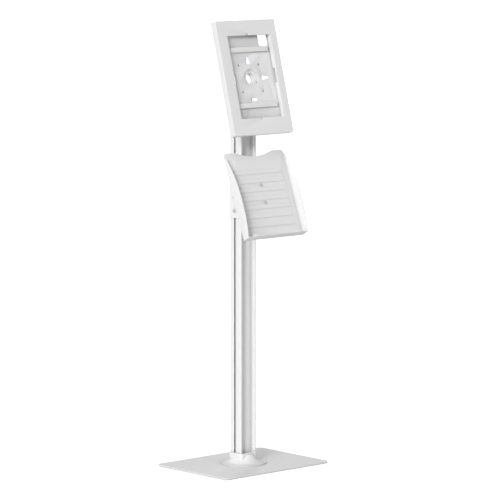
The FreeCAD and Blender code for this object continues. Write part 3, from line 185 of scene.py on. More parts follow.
def new_group(name: str, kind: str, inputs: dict[str, tuple[str, object]],
              outputs: dict[str, str]) -> tuple[NodeShelf, bpy.types.Node, bpy.types.Node]:
    """Start a node group with its named sockets.

    Args:
        name: the group's name.
        kind: the tree's type.
        inputs: type and default value of each input, the value None where it has none.
        outputs: type of each output.

    Returns:
        The tree's shelf, its input node and its output node.
    """
    tree = bpy.data.node_groups.new(name, kind)
    for label, (sort, value) in inputs.items():
        socket = tree.interface.new_socket(name=label, in_out="INPUT", socket_type="NodeSocket" + sort)
        if value is not None:
            socket.default_value = value
    for label, sort in outputs.items():
        tree.interface.new_socket(name=label, in_out="OUTPUT", socket_type="NodeSocket" + sort)
    shelf = NodeShelf(tree)
    return shelf, shelf.add("NodeGroupInput"), shelf.add("NodeGroupOutput")


def open_shelf(holder: bpy.types.Material | bpy.types.World) -> NodeShelf:
    """Empty the tree of a material or a world and give its shelf.

    Args:
        holder: the material or the world.

    Returns:
        The shelf.
    """
    holder.use_nodes = True
    holder.node_tree.nodes.clear()
    return NodeShelf(holder.node_tree)


def add_to_scene(name: str, data: bpy.types.ID) -> bpy.types.Object:
    """Make an object and link it to the scene.

    Args:
        name: the object's name.
        data: its mesh, light or camera.

    Returns:
        The object.
    """
    thing = bpy.data.objects.new(name, data)
    bpy.context.scene.collection.objects.link(thing)
    return thing


def way_from(left: float, up: float) -> Vector:
    """Give the way from the holder to a lamp or the camera.

    Args:
        left: degrees to the left of the holder's front.
        up: degrees above the floor.

    Returns:
        A vector of length 1.
    """
    side, rise = math.radians(left), math.radians(up)
    return Vector((-math.sin(side) * math.cos(rise), -math.cos(side) * math.cos(rise), math.sin(rise)))


def aimed_from(place: Vector, way: Vector) -> Matrix:
    """Give the matrix of a lamp or camera that looks back along a way.

    Args:
        place: where it stands.
        way: the way from the holder to it.

    Returns:
        The matrix.
    """
    return Matrix.Translation(place) @ (-way).to_track_quat("-Z", "Y").to_matrix().to_4x4()


def blend_colours(shelf: NodeShelf, share: bpy.types.NodeSocket, first: bpy.types.NodeSocket,
                  second: object) -> bpy.types.NodeSocket:
    """Mix two colours by a share, the second a socket or a plain colour.

    Args:
        shelf: the tree's shelf.
        share: 0 for the first colour and 1 for the second.
        first: the first colour.
        second: the second colour.

    Returns:
        The mixed colour.
    """
    mix = shelf.add("ShaderNodeMix", data_type="RGBA")
    shelf.wire(share, live(mix.inputs, "Factor"))
    shelf.wire(first, live(mix.inputs, "A"))
    if isinstance(second, bpy.types.NodeSocket):
        shelf.wire(second, live(mix.inputs, "B"))
    else:
        live(mix.inputs, "B").default_value = (*second, 1.0)
    return live(mix.outputs, "Result")


def build_grain_group() -> bpy.types.NodeTree:
    """Group for the fine orange peel and the faint clouding of a sprayed or moulded skin.

    Returns:
        A group that puts out a tint of the base colour, a roughness and a height.
    """
    shelf, inputs, outputs = new_group(
        "coat_grain", "ShaderNodeTree",
        {"Colour": ("Color", (0.8, 0.8, 0.8, 1.0)), "Shade": ("Color", (0.7, 0.7, 0.7, 1.0)),
         "Roughness": ("Float", 0.4), "Roughness Spread": ("Float", 0.08),
         "Peel Scale": ("Float", 900.0), "Mottle": ("Float", 0.12)},
        {"Colour": "Color", "Roughness": "Float", "Height": "Float"})
    place = shelf.add("ShaderNodeTexCoord").outputs["Object"]
    fields = {}
    for name, scale, detail in GRAIN_FIELDS:
        noise = shelf.add("ShaderNodeTexNoise", noise_dimensions="3D")
        noise.inputs["Detail"].default_value = detail
        shelf.wire(place, noise.inputs["Vector"])
        if scale is None:
            shelf.wire(inputs.outputs["Peel Scale"], noise.inputs["Scale"])
        else:
            noise.inputs["Scale"].default_value = scale
        fields[name] = noise.outputs["Fac"]
    clouding = shelf.math("MULTIPLY_ADD", fields["cloud"], CLOUD_SHARE,
                          shelf.math("MULTIPLY", fields["speck"], SPECK_SHARE))
    amount = shelf.math("MULTIPLY", clouding, inputs.outputs["Mottle"])
    tint = blend_colours(shelf, amount, inputs.outputs["Colour"], inputs.outputs["Shade"])
    centred = shelf.math("SUBTRACT", fields["cloud"], NOISE_MIDDLE)
    spread = shelf.math("MULTIPLY_ADD", centred, inputs.outputs["Roughness Spread"],
                        inputs.outputs["Roughness"])
    shelf.wire(tint, outputs.inputs["Colour"])
    shelf.wire(spread, outputs.inputs["Roughness"])
    shelf.wire(fields["peel"], outputs.inputs["Height"])
    return shelf.tree


def build_edge_wear_and_highlight_group() -> bpy.types.NodeTree:
    """Group that finds the convex edges, where a coat thins with wear and where a lighter colour is
    painted on as a highlight.

    Returns:
        A group that puts out a mask, white on the edges.
    """
    shelf, inputs, outputs = new_group(
        "edge_wear_and_highlight", "ShaderNodeTree",
        {"Amount": ("Float", 0.5), "Break Up Scale": ("Float", 60.0)}, {"Mask": "Float"})
    geometry = shelf.add("ShaderNodeNewGeometry")
    ramp = shelf.add("ShaderNodeMapRange", interpolation_type="SMOOTHSTEP")
    ramp.inputs["From Min"].default_value = WEAR_STARTS
    ramp.inputs["From Max"].default_value = WEAR_FULL
    shelf.wire(geometry.outputs["Pointiness"], ramp.inputs["Value"])
    place = shelf.add("ShaderNodeTexCoord")
    noise = shelf.add("ShaderNodeTexNoise", noise_dimensions="3D")
    noise.inputs["Detail"].default_value = WEAR_DETAIL
    shelf.wire(place.outputs["Object"], noise.inputs["Vector"])
    shelf.wire(inputs.outputs["Break Up Scale"], noise.inputs["Scale"])
    patchy = shelf.math("MULTIPLY", ramp.outputs["Result"], noise.outputs["Fac"])
    shelf.wire(shelf.math("MULTIPLY", patchy, inputs.outputs["Amount"]), outputs.inputs["Mask"])
    return shelf.tree


def build_drawn_group() -> bpy.types.NodeTree:
    """Group for the long fine lines that a die or a wheel leaves along one direction.

    Returns:
        A group that puts out the lines as a value, 0 to 1.
    """
    shelf, inputs, outputs = new_group(
        "drawn_lines", "ShaderNodeTree",
        {"Across Scale": ("Float", 900.0), "Along": ("Vector", (1.0, 1.0, 0.004))}, {"Lines": "Float"})
    place = shelf.add("ShaderNodeTexCoord")
    squeeze = shelf.add("ShaderNodeVectorMath", operation="MULTIPLY")
    shelf.wire(place.outputs["Object"], squeeze.inputs[0])
    shelf.wire(inputs.outputs["Along"], squeeze.inputs[1])
    noise = shelf.add("ShaderNodeTexNoise", noise_dimensions="3D")
    noise.inputs["Detail"].default_value = LINE_DETAIL
    shelf.wire(squeeze.outputs["Vector"], noise.inputs["Vector"])
    shelf.wire(inputs.outputs["Across Scale"], noise.inputs["Scale"])
    shelf.wire(noise.outputs["Fac"], outputs.inputs["Lines"])
    return shelf.tree


def build_painted_corner_shade_group() -> bpy.types.NodeTree:
    """Group that finds inner corners and narrow gaps, where the colour is darkened as painted shade.

    Returns:
        A group that puts out a mask, 1 deep in a corner and 0 on open faces.
    """
    shelf, inputs, outputs = new_group(
        "crease_shade", "ShaderNodeTree",
        {"Reach": ("Float", 12 * MM), "Amount": ("Float", 0.5)}, {"Mask": "Float"})
    near = shelf.add("ShaderNodeAmbientOcclusion", samples=CREASE_RAYS)
    shelf.wire(inputs.outputs["Reach"], near.inputs["Distance"])
    closed = shelf.math("SUBTRACT", 1.0, near.outputs["AO"])
    share = shelf.add("ShaderNodeMapRange")
    share.inputs["From Max"].default_value = CREASE_FULL
    shelf.wire(closed, share.inputs["Value"])
    shelf.wire(shelf.math("MULTIPLY", share.outputs["Result"], inputs.outputs["Amount"]),
               outputs.inputs["Mask"])
    return shelf.tree


@dataclass(frozen=True)
class Coat:
    """A sprayed, moulded or plated skin, and what it writes into a Principled shader.

    Attributes:
        name: the material's name.
        colour: base colour, linear.
        shade: the slightly deeper tone of the mottle.
        gloss: the way it shines.
        metallic: 0 for paint and plastic, 1 for bare metal.
        clear: weight of the clear top layer.
        peel_scale: how fine the skin's grain is, per metre.
        peel_height: how deep the grain reads, in metres.
        mottle: how far the colour drifts to the deeper tone.
        wear_and_highlight: how much the edges brighten, partly as wear and partly as a painted highlight.
        edge: colour on the worn edges, also a painted highlight where it is lighter than the coat.
        lines: depth of the drawn lines, in metres, or 0 for none.
        specular: strength of the plain reflection, 0.5 as most paints have.
        painted_corner_shade: how far the colour falls to a darker tone in inner corners, as painted
            shade.
    """

    name: str
    colour: Colour
    shade: Colour
    gloss: Gloss = Gloss.SATIN
    metallic: float = 0.0
    clear: float = 0.0
    peel_scale: float = 900.0
    peel_height: float = 0.00002
    mottle: float = 0.12
    wear_and_highlight: float = 0.3
    edge: Colour = (0.9, 0.9, 0.9)
    lines: float = 0.0
    specular: float = 0.5
    painted_corner_shade: float = 0.5


class Finishes:
    """Makes each finish once and hands it out by name."""

    def __init__(self) -> None:
        """Build the shared node groups."""
        self.grain = build_grain_group()
        self.wear_and_highlight = build_edge_wear_and_highlight_group()
        self.drawn = build_drawn_group()
        self.painted_corner_shade = build_painted_corner_shade_group()
        self.made: dict[str, bpy.types.Material] = {}

    def coat(self, finish: Coat) -> bpy.types.Material:
        """Give the material of a coated, moulded or plated skin.

        Args:
            finish: the skin's values.

        Returns:
            The material, made on the first call.
        """
        if finish.name in self.made:
            return self.made[finish.name]
        material = bpy.data.materials.new(finish.name)
        shelf = open_shelf(material)
        output = shelf.add("ShaderNodeOutputMaterial")
        shader = shelf.add("ShaderNodeBsdfPrincipled")
        shelf.wire(shader.outputs["BSDF"], output.inputs["Surface"])
        shader.inputs["Metallic"].default_value = finish.metallic
        shader.inputs["Specular IOR Level"].default_value = finish.specular
        shader.inputs["Coat Weight"].default_value = finish.clear
        shader.inputs["Coat Roughness"].default_value = CLEAR_ROUGHNESS
        grain = shelf.add("ShaderNodeGroup", node_tree=self.grain)
        grain.inputs["Colour"].default_value = (*finish.colour, 1.0)
        grain.inputs["Shade"].default_value = (*finish.shade, 1.0)
        grain.inputs["Roughness"].default_value = finish.gloss.value
        grain.inputs["Peel Scale"].default_value = finish.peel_scale
        grain.inputs["Mottle"].default_value = finish.mottle
        # Convex edges get a lighter colour: partly edge wear, partly a painted highlight.
        wear_and_highlight = shelf.add("ShaderNodeGroup", node_tree=self.wear_and_highlight)
        wear_and_highlight.inputs["Amount"].default_value = finish.wear_and_highlight
        worn_and_lit = blend_colours(shelf, wear_and_highlight.outputs["Mask"], grain.outputs["Colour"], finish.edge)
        # Inner corners and narrow gaps are darkened towards a deeper tone as painted shade.
        corner = shelf.add("ShaderNodeGroup", node_tree=self.painted_corner_shade)
        corner.inputs["Amount"].default_value = finish.painted_corner_shade
        painted_shade_colour = [PAINTED_SHADE_TONE * value for value in finish.shade]
        shelf.wire(blend_colours(shelf, corner.outputs["Mask"], worn_and_lit, painted_shade_colour), shader.inputs["Base Color"])
        shelf.wire(grain.outputs["Roughness"], shader.inputs["Roughness"])
        normal = self.bump(shelf, grain.outputs["Height"], finish.peel_height)
        if finish.lines > 0.0:
            drawn = shelf.add("ShaderNodeGroup", node_tree=self.drawn)
            normal = self.bump(shelf, drawn.outputs["Lines"], finish.lines, normal)
        shelf.wire(normal, shader.inputs["Normal"])
        self.made[finish.name] = material
        return material

    def bump(self, shelf: NodeShelf, height: bpy.types.NodeSocket, depth: float,
             under: bpy.types.NodeSocket | None = None) -> bpy.types.NodeSocket:
        """Turn a height into a normal.

        Args:
            shelf: the material's shelf.
            height: the output that holds the height, 0 to 1.
            depth: the height of 1, in metres.
            under: the normal of a coarser bump below this one.

        Returns:
            The new normal.
        """
        node = shelf.add("ShaderNodeBump")
        node.inputs["Strength"].default_value = 1.0
        node.inputs["Distance"].default_value = depth
        shelf.wire(height, node.inputs["Height"])
        if under is not None:
            shelf.wire(under, node.inputs["Normal"])
        return node.outputs["Normal"]


def build_extrusion_tree() -> bpy.types.NodeTree:
    """Tree that draws a long section: eased corners, filled, run to length and closed.

    Returns:
        A tree whose inputs are the section's edges, its start, its length and its skin.
    """
    shelf, inputs, outputs = new_group(
        "drawn_section", "GeometryNodeTree",
        {"Section": ("Geometry", None), "Start": ("Float", 0.0), "Length": ("Float", 1.0),
         "Corner Radius": ("Float", 0.5 * MM), "Skin": ("Material", None)},
        {"Extrusion": "Geometry"})
    line = shelf.add("GeometryNodeMeshToCurve")
    ease = shelf.add("GeometryNodeFilletCurve", mode="POLY")
    live(ease.inputs, "Count").default_value = CORNER_POINTS
    live(ease.inputs, "Limit Radius").default_value = True
    fill = shelf.add("GeometryNodeFillCurve", mode="TRIANGLES")
    run = shelf.add("GeometryNodeExtrudeMesh", mode="FACES")
    live(run.inputs, "Individual").default_value = False
    rise = shelf.add("ShaderNodeCombineXYZ")
    lift = shelf.add("ShaderNodeCombineXYZ")
    foot = shelf.add("GeometryNodeFlipFaces")
    join = shelf.add("GeometryNodeJoinGeometry")
    weld = shelf.add("GeometryNodeMergeByDistance")
    live(weld.inputs, "Distance").default_value = LEVEL_SLACK
    stand = shelf.add("GeometryNodeTransform")
    real = shelf.add("GeometryNodeRealizeInstances")
    skin = shelf.add("GeometryNodeSetMaterial")
    shelf.wire(inputs.outputs["Section"], line.inputs["Mesh"])
    shelf.wire(line.outputs["Curve"], ease.inputs["Curve"])
    shelf.wire(inputs.outputs["Corner Radius"], live(ease.inputs, "Radius"))
    shelf.wire(ease.outputs["Curve"], fill.inputs["Curve"])
    shelf.wire(fill.outputs["Mesh"], run.inputs["Mesh"])
    shelf.wire(inputs.outputs["Length"], rise.inputs["Z"])
    shelf.wire(rise.outputs["Vector"], live(run.inputs, "Offset"))
    shelf.wire(fill.outputs["Mesh"], foot.inputs["Mesh"])
    shelf.wire(run.outputs["Mesh"], join.inputs["Geometry"])
    shelf.wire(foot.outputs["Mesh"], join.inputs["Geometry"])
    shelf.wire(join.outputs["Geometry"], weld.inputs["Geometry"])
    shelf.wire(weld.outputs["Geometry"], stand.inputs["Geometry"])
    shelf.wire(inputs.outputs["Start"], lift.inputs["Z"])
    shelf.wire(lift.outputs["Vector"], live(stand.inputs, "Translation"))
    shelf.wire(stand.outputs["Geometry"], real.inputs["Geometry"])
    shelf.wire(real.outputs["Geometry"], skin.inputs["Geometry"])
    shelf.wire(inputs.outputs["Skin"], skin.inputs["Material"])
    shelf.wire(skin.outputs["Geometry"], outputs.inputs["Extrusion"])
    return shelf.tree


def build_repeat_tree() -> bpy.types.NodeTree:
    """Tree that sets one small part on every marked seat, facing out of its surface.

    Returns:
        A tree whose inputs are the seats, the part, its skin, the turn's spread and a seed.
    """
    shelf, inputs, outputs = new_group(
        "part_on_every_seat", "GeometryNodeTree",
        {"Seats": ("Geometry", None), "Part": ("Object", None), "Turn Spread": ("Float", 0.5),
         "Seed": ("Int", 7), "Skin": ("Material", None)},
        {"Parts": "Geometry"})
    part = shelf.add("GeometryNodeObjectInfo", transform_space="ORIGINAL")
    facing = shelf.add("GeometryNodeInputNamedAttribute", data_type="FLOAT_VECTOR")
    facing.inputs["Name"].default_value = "facing"
    align = shelf.add("FunctionNodeAlignRotationToVector", axis="Z")
    chance = shelf.add("FunctionNodeRandomValue", data_type="FLOAT")
    spin = shelf.add("FunctionNodeAxisAngleToRotation")
    live(spin.inputs, "Axis").default_value = (0.0, 0.0, 1.0)
    turn = shelf.add("FunctionNodeRotateRotation", rotation_space="LOCAL")
    place = shelf.add("GeometryNodeInstanceOnPoints")
    real = shelf.add("GeometryNodeRealizeInstances")
    skin = shelf.add("GeometryNodeSetMaterial")
    shelf.wire(inputs.outputs["Part"], part.inputs["Object"])
    shelf.wire(live(facing.outputs, "Attribute"), align.inputs["Vector"])
    lowest = shelf.math("MULTIPLY", inputs.outputs["Turn Spread"], -1.0)
    shelf.wire(lowest, live(chance.inputs, "Min"))
    shelf.wire(inputs.outputs["Turn Spread"], live(chance.inputs, "Max"))
    shelf.wire(inputs.outputs["Seed"], live(chance.inputs, "Seed"))
    shelf.wire(live(chance.outputs, "Value"), spin.inputs["Angle"])
    shelf.wire(align.outputs["Rotation"], turn.inputs["Rotation"])
    shelf.wire(spin.outputs["Rotation"], turn.inputs["Rotate By"])
    shelf.wire(inputs.outputs["Seats"], place.inputs["Points"])
    shelf.wire(part.outputs["Geometry"], place.inputs["Instance"])
    shelf.wire(turn.outputs["Rotation"], place.inputs["Rotation"])
    shelf.wire(place.outputs["Instances"], real.inputs["Geometry"])
    shelf.wire(real.outputs["Geometry"], skin.inputs["Geometry"])
    shelf.wire(inputs.outputs["Skin"], skin.inputs["Material"])
    shelf.wire(skin.outputs["Geometry"], outputs.inputs["Parts"])
    return shelf.tree


def ring_stack(rings: Sequence[tuple[Radius, float]], count: int, tube: bool = False) -> bpy.types.Mesh:
    """Build a turned shape from rings, each a radius by angle and a height.

    Args:
        rings: the rings in order, outside first from the bottom up.
        count: points round a ring.
        tube: True where the last ring meets the first instead of being closed over.

    Returns:
        A closed mesh with its faces outwards.
    """
    work = bmesh.new()
    loops = []
    for radius, height in rings:
        angles = [math.tau * step / count for step in range(count)]
        loops.append([work.verts.new((radius(angle) * math.cos(angle), radius(angle) * math.sin(angle),
                                      height)) for angle in angles])
    pairs = list(zip(loops, loops[1:]))
    if tube:
        pairs.append((loops[-1], loops[0]))
    else:
        work.faces.new(loops[0][::-1])
        work.faces.new(loops[-1])
    for lower, upper in pairs:
        for step in range(count):
            after = (step + 1) % count
            work.faces.new((lower[step], lower[after], upper[after], upper[step]))
    mesh = bpy.data.meshes.new("turned_shape")
    work.to_mesh(mesh)
    work.free()
    return mesh


def round_of(radius: float) -> Radius:
    """Give the ring function of a plain circle."""
    return lambda angle: radius


def cross_of(reach: float, half_width: float) -> Radius:
    """Give the ring function of a cross recess.

    Args:
        reach: from the middle to the end of an arm.
        half_width: half of an arm's width.

    Returns:
        Radius by angle.
    """
    def radius(angle: float) -> float:
        """Radius of the cross's outline at one angle."""
        folded = (angle + math.pi / 4) % (math.pi / 2) - math.pi / 4
        across = abs(math.sin(folded))
        along = reach / math.cos(folded)
        return min(along, half_width / across) if across > LEVEL_SLACK else along
    return radius


def hex_of(flat: float) -> Radius:
    """Give the ring function of a hexagon, from the middle to a flat."""
    return lambda angle: flat / math.cos((angle + math.pi / 6) % (math.pi / 3) - math.pi / 6)


# Shares of a screw's own sizes: the dome's radius and height from the rim to the top, the
# shank's point, and the reach and half width of a recess.
SCREW_DOME = ((1.0, -1.0), (1.0, -0.5), (0.955, -0.22), (0.86, -0.06), (0.72, 0.0))
SCREW_POINT = 0.7
SCREW_CHAMFER = 0.3
RECESS_DEPTH = 0.8
CROSS_MOUTH = (0.62, 0.15)
CROSS_FLOOR = (0.34, 0.10)
HEX_MOUTH = 0.5
HEX_FLOOR = 0.49


@dataclass(frozen=True)
class Screw:
    """A pan head screw with its recess, its top at the origin and its shank below.

    Attributes:
        head_radius: radius of the head.
        head_height: height of the head.
        shank_radius: radius of the shank.
        length: length under the head.
        drive: the recess.
        count: points round the screw.
    """

    head_radius: float
    head_height: float
    shank_radius: float
    length: float
    drive: Drive = Drive.CROSS
    count: int = 48

    def shape(self) -> bpy.types.Mesh:
        """Build the screw's mesh.

        Returns:
            A closed mesh.
        """
        wide, tall = self.head_radius, self.head_height
        if self.drive is Drive.CROSS:
            mouth = cross_of(CROSS_MOUTH[0] * wide, CROSS_MOUTH[1] * wide)
            floor = cross_of(CROSS_FLOOR[0] * wide, CROSS_FLOOR[1] * wide)
        else:
            mouth, floor = hex_of(HEX_MOUTH * wide), hex_of(HEX_FLOOR * wide)
        point = -tall - self.length
        rings = [(round_of(SCREW_POINT * self.shank_radius), point),
                 (round_of(self.shank_radius), point + SCREW_CHAMFER * self.shank_radius),
                 (round_of(self.shank_radius), -tall)]
        rings += [(round_of(across * wide), up * tall) for across, up in SCREW_DOME]
        rings += [(mouth, 0.0), (floor, -RECESS_DEPTH * tall)]
        return ring_stack(rings, self.count)


@dataclass(frozen=True)
class ThreadInsert:
    """A round insert with a threaded bore, its rim at the origin and its body below.

    Attributes:
        radius: outer radius.
        bore: radius of the bore.
        length: length along its axis.
        pitch: pitch of the thread's grooves.
        groove: depth of the thread's grooves.
        rim: bevel of the outer rim.
        mouth: bevel of the bore's mouth.
        count: points round the insert.
    """

    radius: float = 3.5 * MM
    bore: float = 2.0 * MM
    length: float = 7.0 * MM
    pitch: float = 0.8 * MM
    groove: float = 0.25 * MM
    rim: float = 0.25 * MM
    mouth: float = 0.5 * MM
    count: int = 32

    def shape(self) -> bpy.types.Mesh:
        """Build the insert's mesh.

        Returns:
            A closed mesh, open along its bore.
        """
        rings = [(round_of(self.radius), -self.length), (round_of(self.radius), -self.rim),
                 (round_of(self.radius - self.rim), 0.0), (round_of(self.bore + self.mouth), 0.0),
                 (round_of(self.bore), -self.mouth)]
        level = -self.mouth - self.pitch / 2
        while level > -self.length + self.pitch:
            rings.append((round_of(self.bore + self.groove), level))
            rings.append((round_of(self.bore), level - self.pitch / 2))
            level -= self.pitch
        rings.append((round_of(self.bore), -self.length))
        return ring_stack(rings, self.count, tube=True)


WHITE = (0.72, 0.72, 0.72)
WHITE_SHADE = (0.67, 0.67, 0.675)

# Each coat's painted_corner_shade sets how much painted shade darkens its inner corners.
HEAD_COAT = Coat("head_powder_coat", WHITE, WHITE_SHADE, peel_scale=1400.0, painted_corner_shade=0.12)
# The plate's coat is a darker copy of the white coat: painted shade for the recess it lies in behind the
# front frame.
SHADED_PLATE_COAT = Coat("plate_powder_coat_painted_shade", (0.69, 0.69, 0.69), (0.645, 0.645, 0.65),
                  peel_scale=1400.0, painted_corner_shade=0.1)
TRAY_COAT = Coat("tray_powder_coat", WHITE, WHITE_SHADE, peel_scale=1400.0)
BASE_COAT = Coat("base_gloss_coat", WHITE, WHITE_SHADE, Gloss.SILK,
                 clear=0.1, peel_scale=700.0, peel_height=0.000006, mottle=0.08)
COLUMN_COAT = Coat("column_extruded_coat", WHITE, WHITE_SHADE, peel_scale=1800.0,
                   peel_height=0.00001, lines=0.00003)
MOULDING = Coat("white_moulding", (0.73, 0.73, 0.73), (0.69, 0.69, 0.69), peel_scale=2600.0,
                mottle=0.08)
ZINC = Coat("zinc_plate", (0.62, 0.63, 0.64), (0.46, 0.47, 0.49), Gloss.SILK, metallic=1.0,
            peel_scale=520.0, peel_height=0.00001, mottle=0.5, edge=(0.8, 0.8, 0.8))
PAINTED_STEEL = Coat("painted_screw", (0.58, 0.58, 0.58), (0.46, 0.46, 0.47), Gloss.SILK,
                     peel_scale=1500.0, mottle=0.2)
CHROME = Coat("lock_chrome_plate", (0.72, 0.72, 0.73), (0.6, 0.6, 0.62), Gloss.POLISHED,
              metallic=1.0, peel_scale=300.0, peel_height=0.000003, mottle=0.2)
BRASS = Coat("lock_brass_plate", (0.66, 0.52, 0.27), (0.5, 0.38, 0.18), Gloss.SILK,
             metallic=1.0, peel_scale=600.0, peel_height=0.000006, mottle=0.35)
NYLON = Coat("nylon_washer", (0.70, 0.70, 0.69), (0.6, 0.6, 0.59), Gloss.MATT, peel_scale=2000.0)
RUBBER = Coat("floor_rubber", (0.022, 0.022, 0.024), (0.012, 0.012, 0.012), Gloss.CHALKY,
              peel_scale=1200.0, peel_height=0.00008, mottle=0.6, edge=(0.06, 0.06, 0.06))
FOAM = Coat("strip_foam", (0.78, 0.78, 0.77), (0.70, 0.70, 0.69), Gloss.CHALKY,
            peel_scale=2400.0, peel_height=0.0002, mottle=0.4, edge=(0.85, 0.85, 0.84),
            specular=0.2)


@dataclass(frozen=True)
class Seat:
    """Where one small part sits: the middle of its top and the way it faces."""

    point: Vector
    facing: Vector


def leaning(degrees: float) -> Vector:
    """Give the way out of a surface that faces forward and leans back by some degrees."""
    return Vector((0.0, -math.cos(math.radians(degrees)), math.sin(math.radians(degrees))))


def outward_x(middle: Vector) -> Vector:
    """Give the way out of the column's side that a point is on."""
    return Vector((math.copysign(1.0, middle.x), 0.0, 0.0))


class Workshop:
    """Holds the frame and does the steps that every piece of the holder needs."""

    def __init__(self, frame: dict, finishes: Finishes) -> None:
        """Keep the frame and the finishes, and build the two shape trees."""
        self.frame = frame
        self.finishes = finishes
        self.extrusion = build_extrusion_tree()
        self.repeat = build_repeat_tree()

    def dress(self, node: str, finish: Coat) -> None:
        """Give a carried-over frame node its finish.

        Args:
            node: the frame's node.
            finish: the skin that it gets.
        """
        material = self.finishes.coat(finish)
        for place in self.frame["nodes"][node].material_slots:
            place.material = material
        LOG.info("%s keeps its frame shape in %s", node, finish.name)

    def merged_copy(self, node: str) -> bmesh.types.BMesh:
        """Copy a frame node with its loose triangles joined and its flats cleaned.

        Args:
            node: the frame's node.

        Returns:
            The copy as an open bmesh.
        """
        work = bmesh.new()
        work.from_mesh(self.frame["nodes"][node].data)
        bmesh.ops.remove_doubles(work, verts=work.verts, dist=WELD_DISTANCE)
        bmesh.ops.dissolve_limit(work, angle_limit=math.radians(FLAT_DEGREES),
                                 verts=work.verts, edges=work.edges)
        return work

    def seats(self, node: str, facing: Vector | Callable[[Vector], Vector]) -> list[Seat]:
        """Find where each of a frame node's separate small parts sits.

        Args:
            node: the frame's node.
            facing: the way they face, or what gives it from a part's middle.

        Returns:
            One seat for each part.
        """
        work = self.merged_copy(node)
        left = set(work.verts)
        found = []
        while left:
            reached = {left.pop()}
            group = []
            while reached:
                vertex = reached.pop()
                left.discard(vertex)
                group.append(vertex.co.copy())
                reached.update(edge.other_vert(vertex) for edge in vertex.link_edges
                               if edge.other_vert(vertex) in left)
            lows = Vector([min(point[axis] for point in group) for axis in range(3)])
            highs = Vector([max(point[axis] for point in group) for axis in range(3)])
            way = facing if isinstance(facing, Vector) else facing((lows + highs) / 2)
            turn = way.to_track_quat("Z", "Y")
            local = [turn.inverted() @ point for point in group]
            middle = [(min(point[axis] for point in local) + max(point[axis] for point in local)) / 2
                      for axis in range(2)]
            top = max(point.z for point in local)
            found.append(Seat(turn @ Vector((middle[0], middle[1], top)), way))
        work.free()
        return sorted(found, key=lambda seat: tuple(round(value, SORT_DIGITS) for value in seat.point))

    def section(self, node: str) -> bpy.types.Mesh:
        """Read the outline of a drawn part from the underside of its frame node.

        Args:
            node: the frame's node, drawn straight up.

        Returns:
            A mesh of edges on the level of the origin.
        """
        work = self.merged_copy(node)
        foot = min(vertex.co.z for vertex in work.verts)
        edges = [edge for edge in work.edges
                 if all(abs(vertex.co.z - foot) < LEVEL_SLACK for vertex in edge.verts)
                 and sum(abs(face.normal.z) < UPRIGHT_NORMAL for face in edge.link_faces) == 1]
        places: dict[bmesh.types.BMVert, int] = {}
        for edge in edges:
            for vertex in edge.verts:
                places.setdefault(vertex, len(places))
        points = [(vertex.co.x, vertex.co.y, 0.0) for vertex in places]
        pairs = [tuple(places[vertex] for vertex in edge.verts) for edge in edges]
        work.free()
        mesh = bpy.data.meshes.new("section_edges")
        mesh.from_pydata(points, pairs, [])
        return mesh

    def run_tree(self, mesh: bpy.types.Mesh, tree: bpy.types.NodeTree,
                 values: dict[str, object]) -> bpy.types.Mesh:
        """Put a mesh through a shape tree and give back plain geometry.

        Args:
            mesh: the mesh that the tree starts from.
            tree: the tree.
            values: its inputs by name.

        Returns:
            The plain mesh.
        """
        host = add_to_scene("tree_host", mesh)
        modifier = host.modifiers.new("shape", "NODES")
        modifier.node_group = tree
        for item in tree.interface.items_tree:
            if item.item_type == "SOCKET" and item.in_out == "INPUT" and item.name in values:
                modifier[item.identifier] = values[item.name]
        return self.bake_modifiers(host)

    def finish_piece(self, name: str, mesh: bpy.types.Mesh, body: str,
                     finish: Coat, nodes: Sequence[str] = ()) -> bpy.types.Object:
        """Put a finished mesh on its body, in its finish.

        Args:
            name: the piece's name.
            mesh: the mesh, already in its place.
            body: the body that it rides.
            finish: the skin that it gets.
            nodes: frame nodes that it stands for.

        Returns:
            The piece.
        """
        mesh.name = name
        piece = add_to_scene(name, mesh)
        mesh.materials.clear()
        mesh.materials.append(self.finishes.coat(finish))
        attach(piece, body)
        if nodes:
            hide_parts(*nodes)
        LOG.info("%s: %d faces on %s", name, len(mesh.polygons), body)
        return piece

    def bake_modifiers(self, thing: bpy.types.Object) -> bpy.types.Mesh:
        """Turn an object with modifiers into a plain mesh and remove the object.

        Args:
            thing: the object, linked to the scene.

        Returns:
            The plain mesh.
        """
        bpy.context.view_layer.update()
        graph = bpy.context.evaluated_depsgraph_get()
        mesh = bpy.data.meshes.new_from_object(thing.evaluated_get(graph))
        source = thing.data
        thing.modifiers.clear()
        bpy.data.objects.remove(thing)
        if source.users == 0:
            bpy.data.meshes.remove(source)
        mesh.shade_smooth()
        mesh.set_sharp_from_angle(angle=math.radians(SMOOTH_DEGREES))
        return mesh

    def soften(self, name: str, node: str, body: str, slot: str, finish: Coat,
               radius: float, segments: int = 2) -> bpy.types.Object:
        """Stand a copy with rounded folds and rims in for a frame node.

        Args:
            name: the piece's name.
            node: the frame's node.
            body: the body that it rides.
            slot: the record's material slot; not used.
            finish: the skin that it gets.
            radius: the rounding's width, in metres.
            segments: faces across the rounding.

        Returns:
            The piece.
        """
        work = self.merged_copy(node)
        mesh = bpy.data.meshes.new("soft_shape")
        work.to_mesh(mesh)
        work.free()
        thing = add_to_scene("soft_shape", mesh)
        bevel = thing.modifiers.new("soft_edges", "BEVEL")
        bevel.width = radius
        bevel.segments = segments
        bevel.limit_method = "ANGLE"
        bevel.angle_limit = math.radians(FOLD_DEGREES)
        bevel.use_clamp_overlap = True
        bevel.miter_outer = "MITER_ARC"
        return self.finish_piece(name, self.bake_modifiers(thing), body, finish, [node])

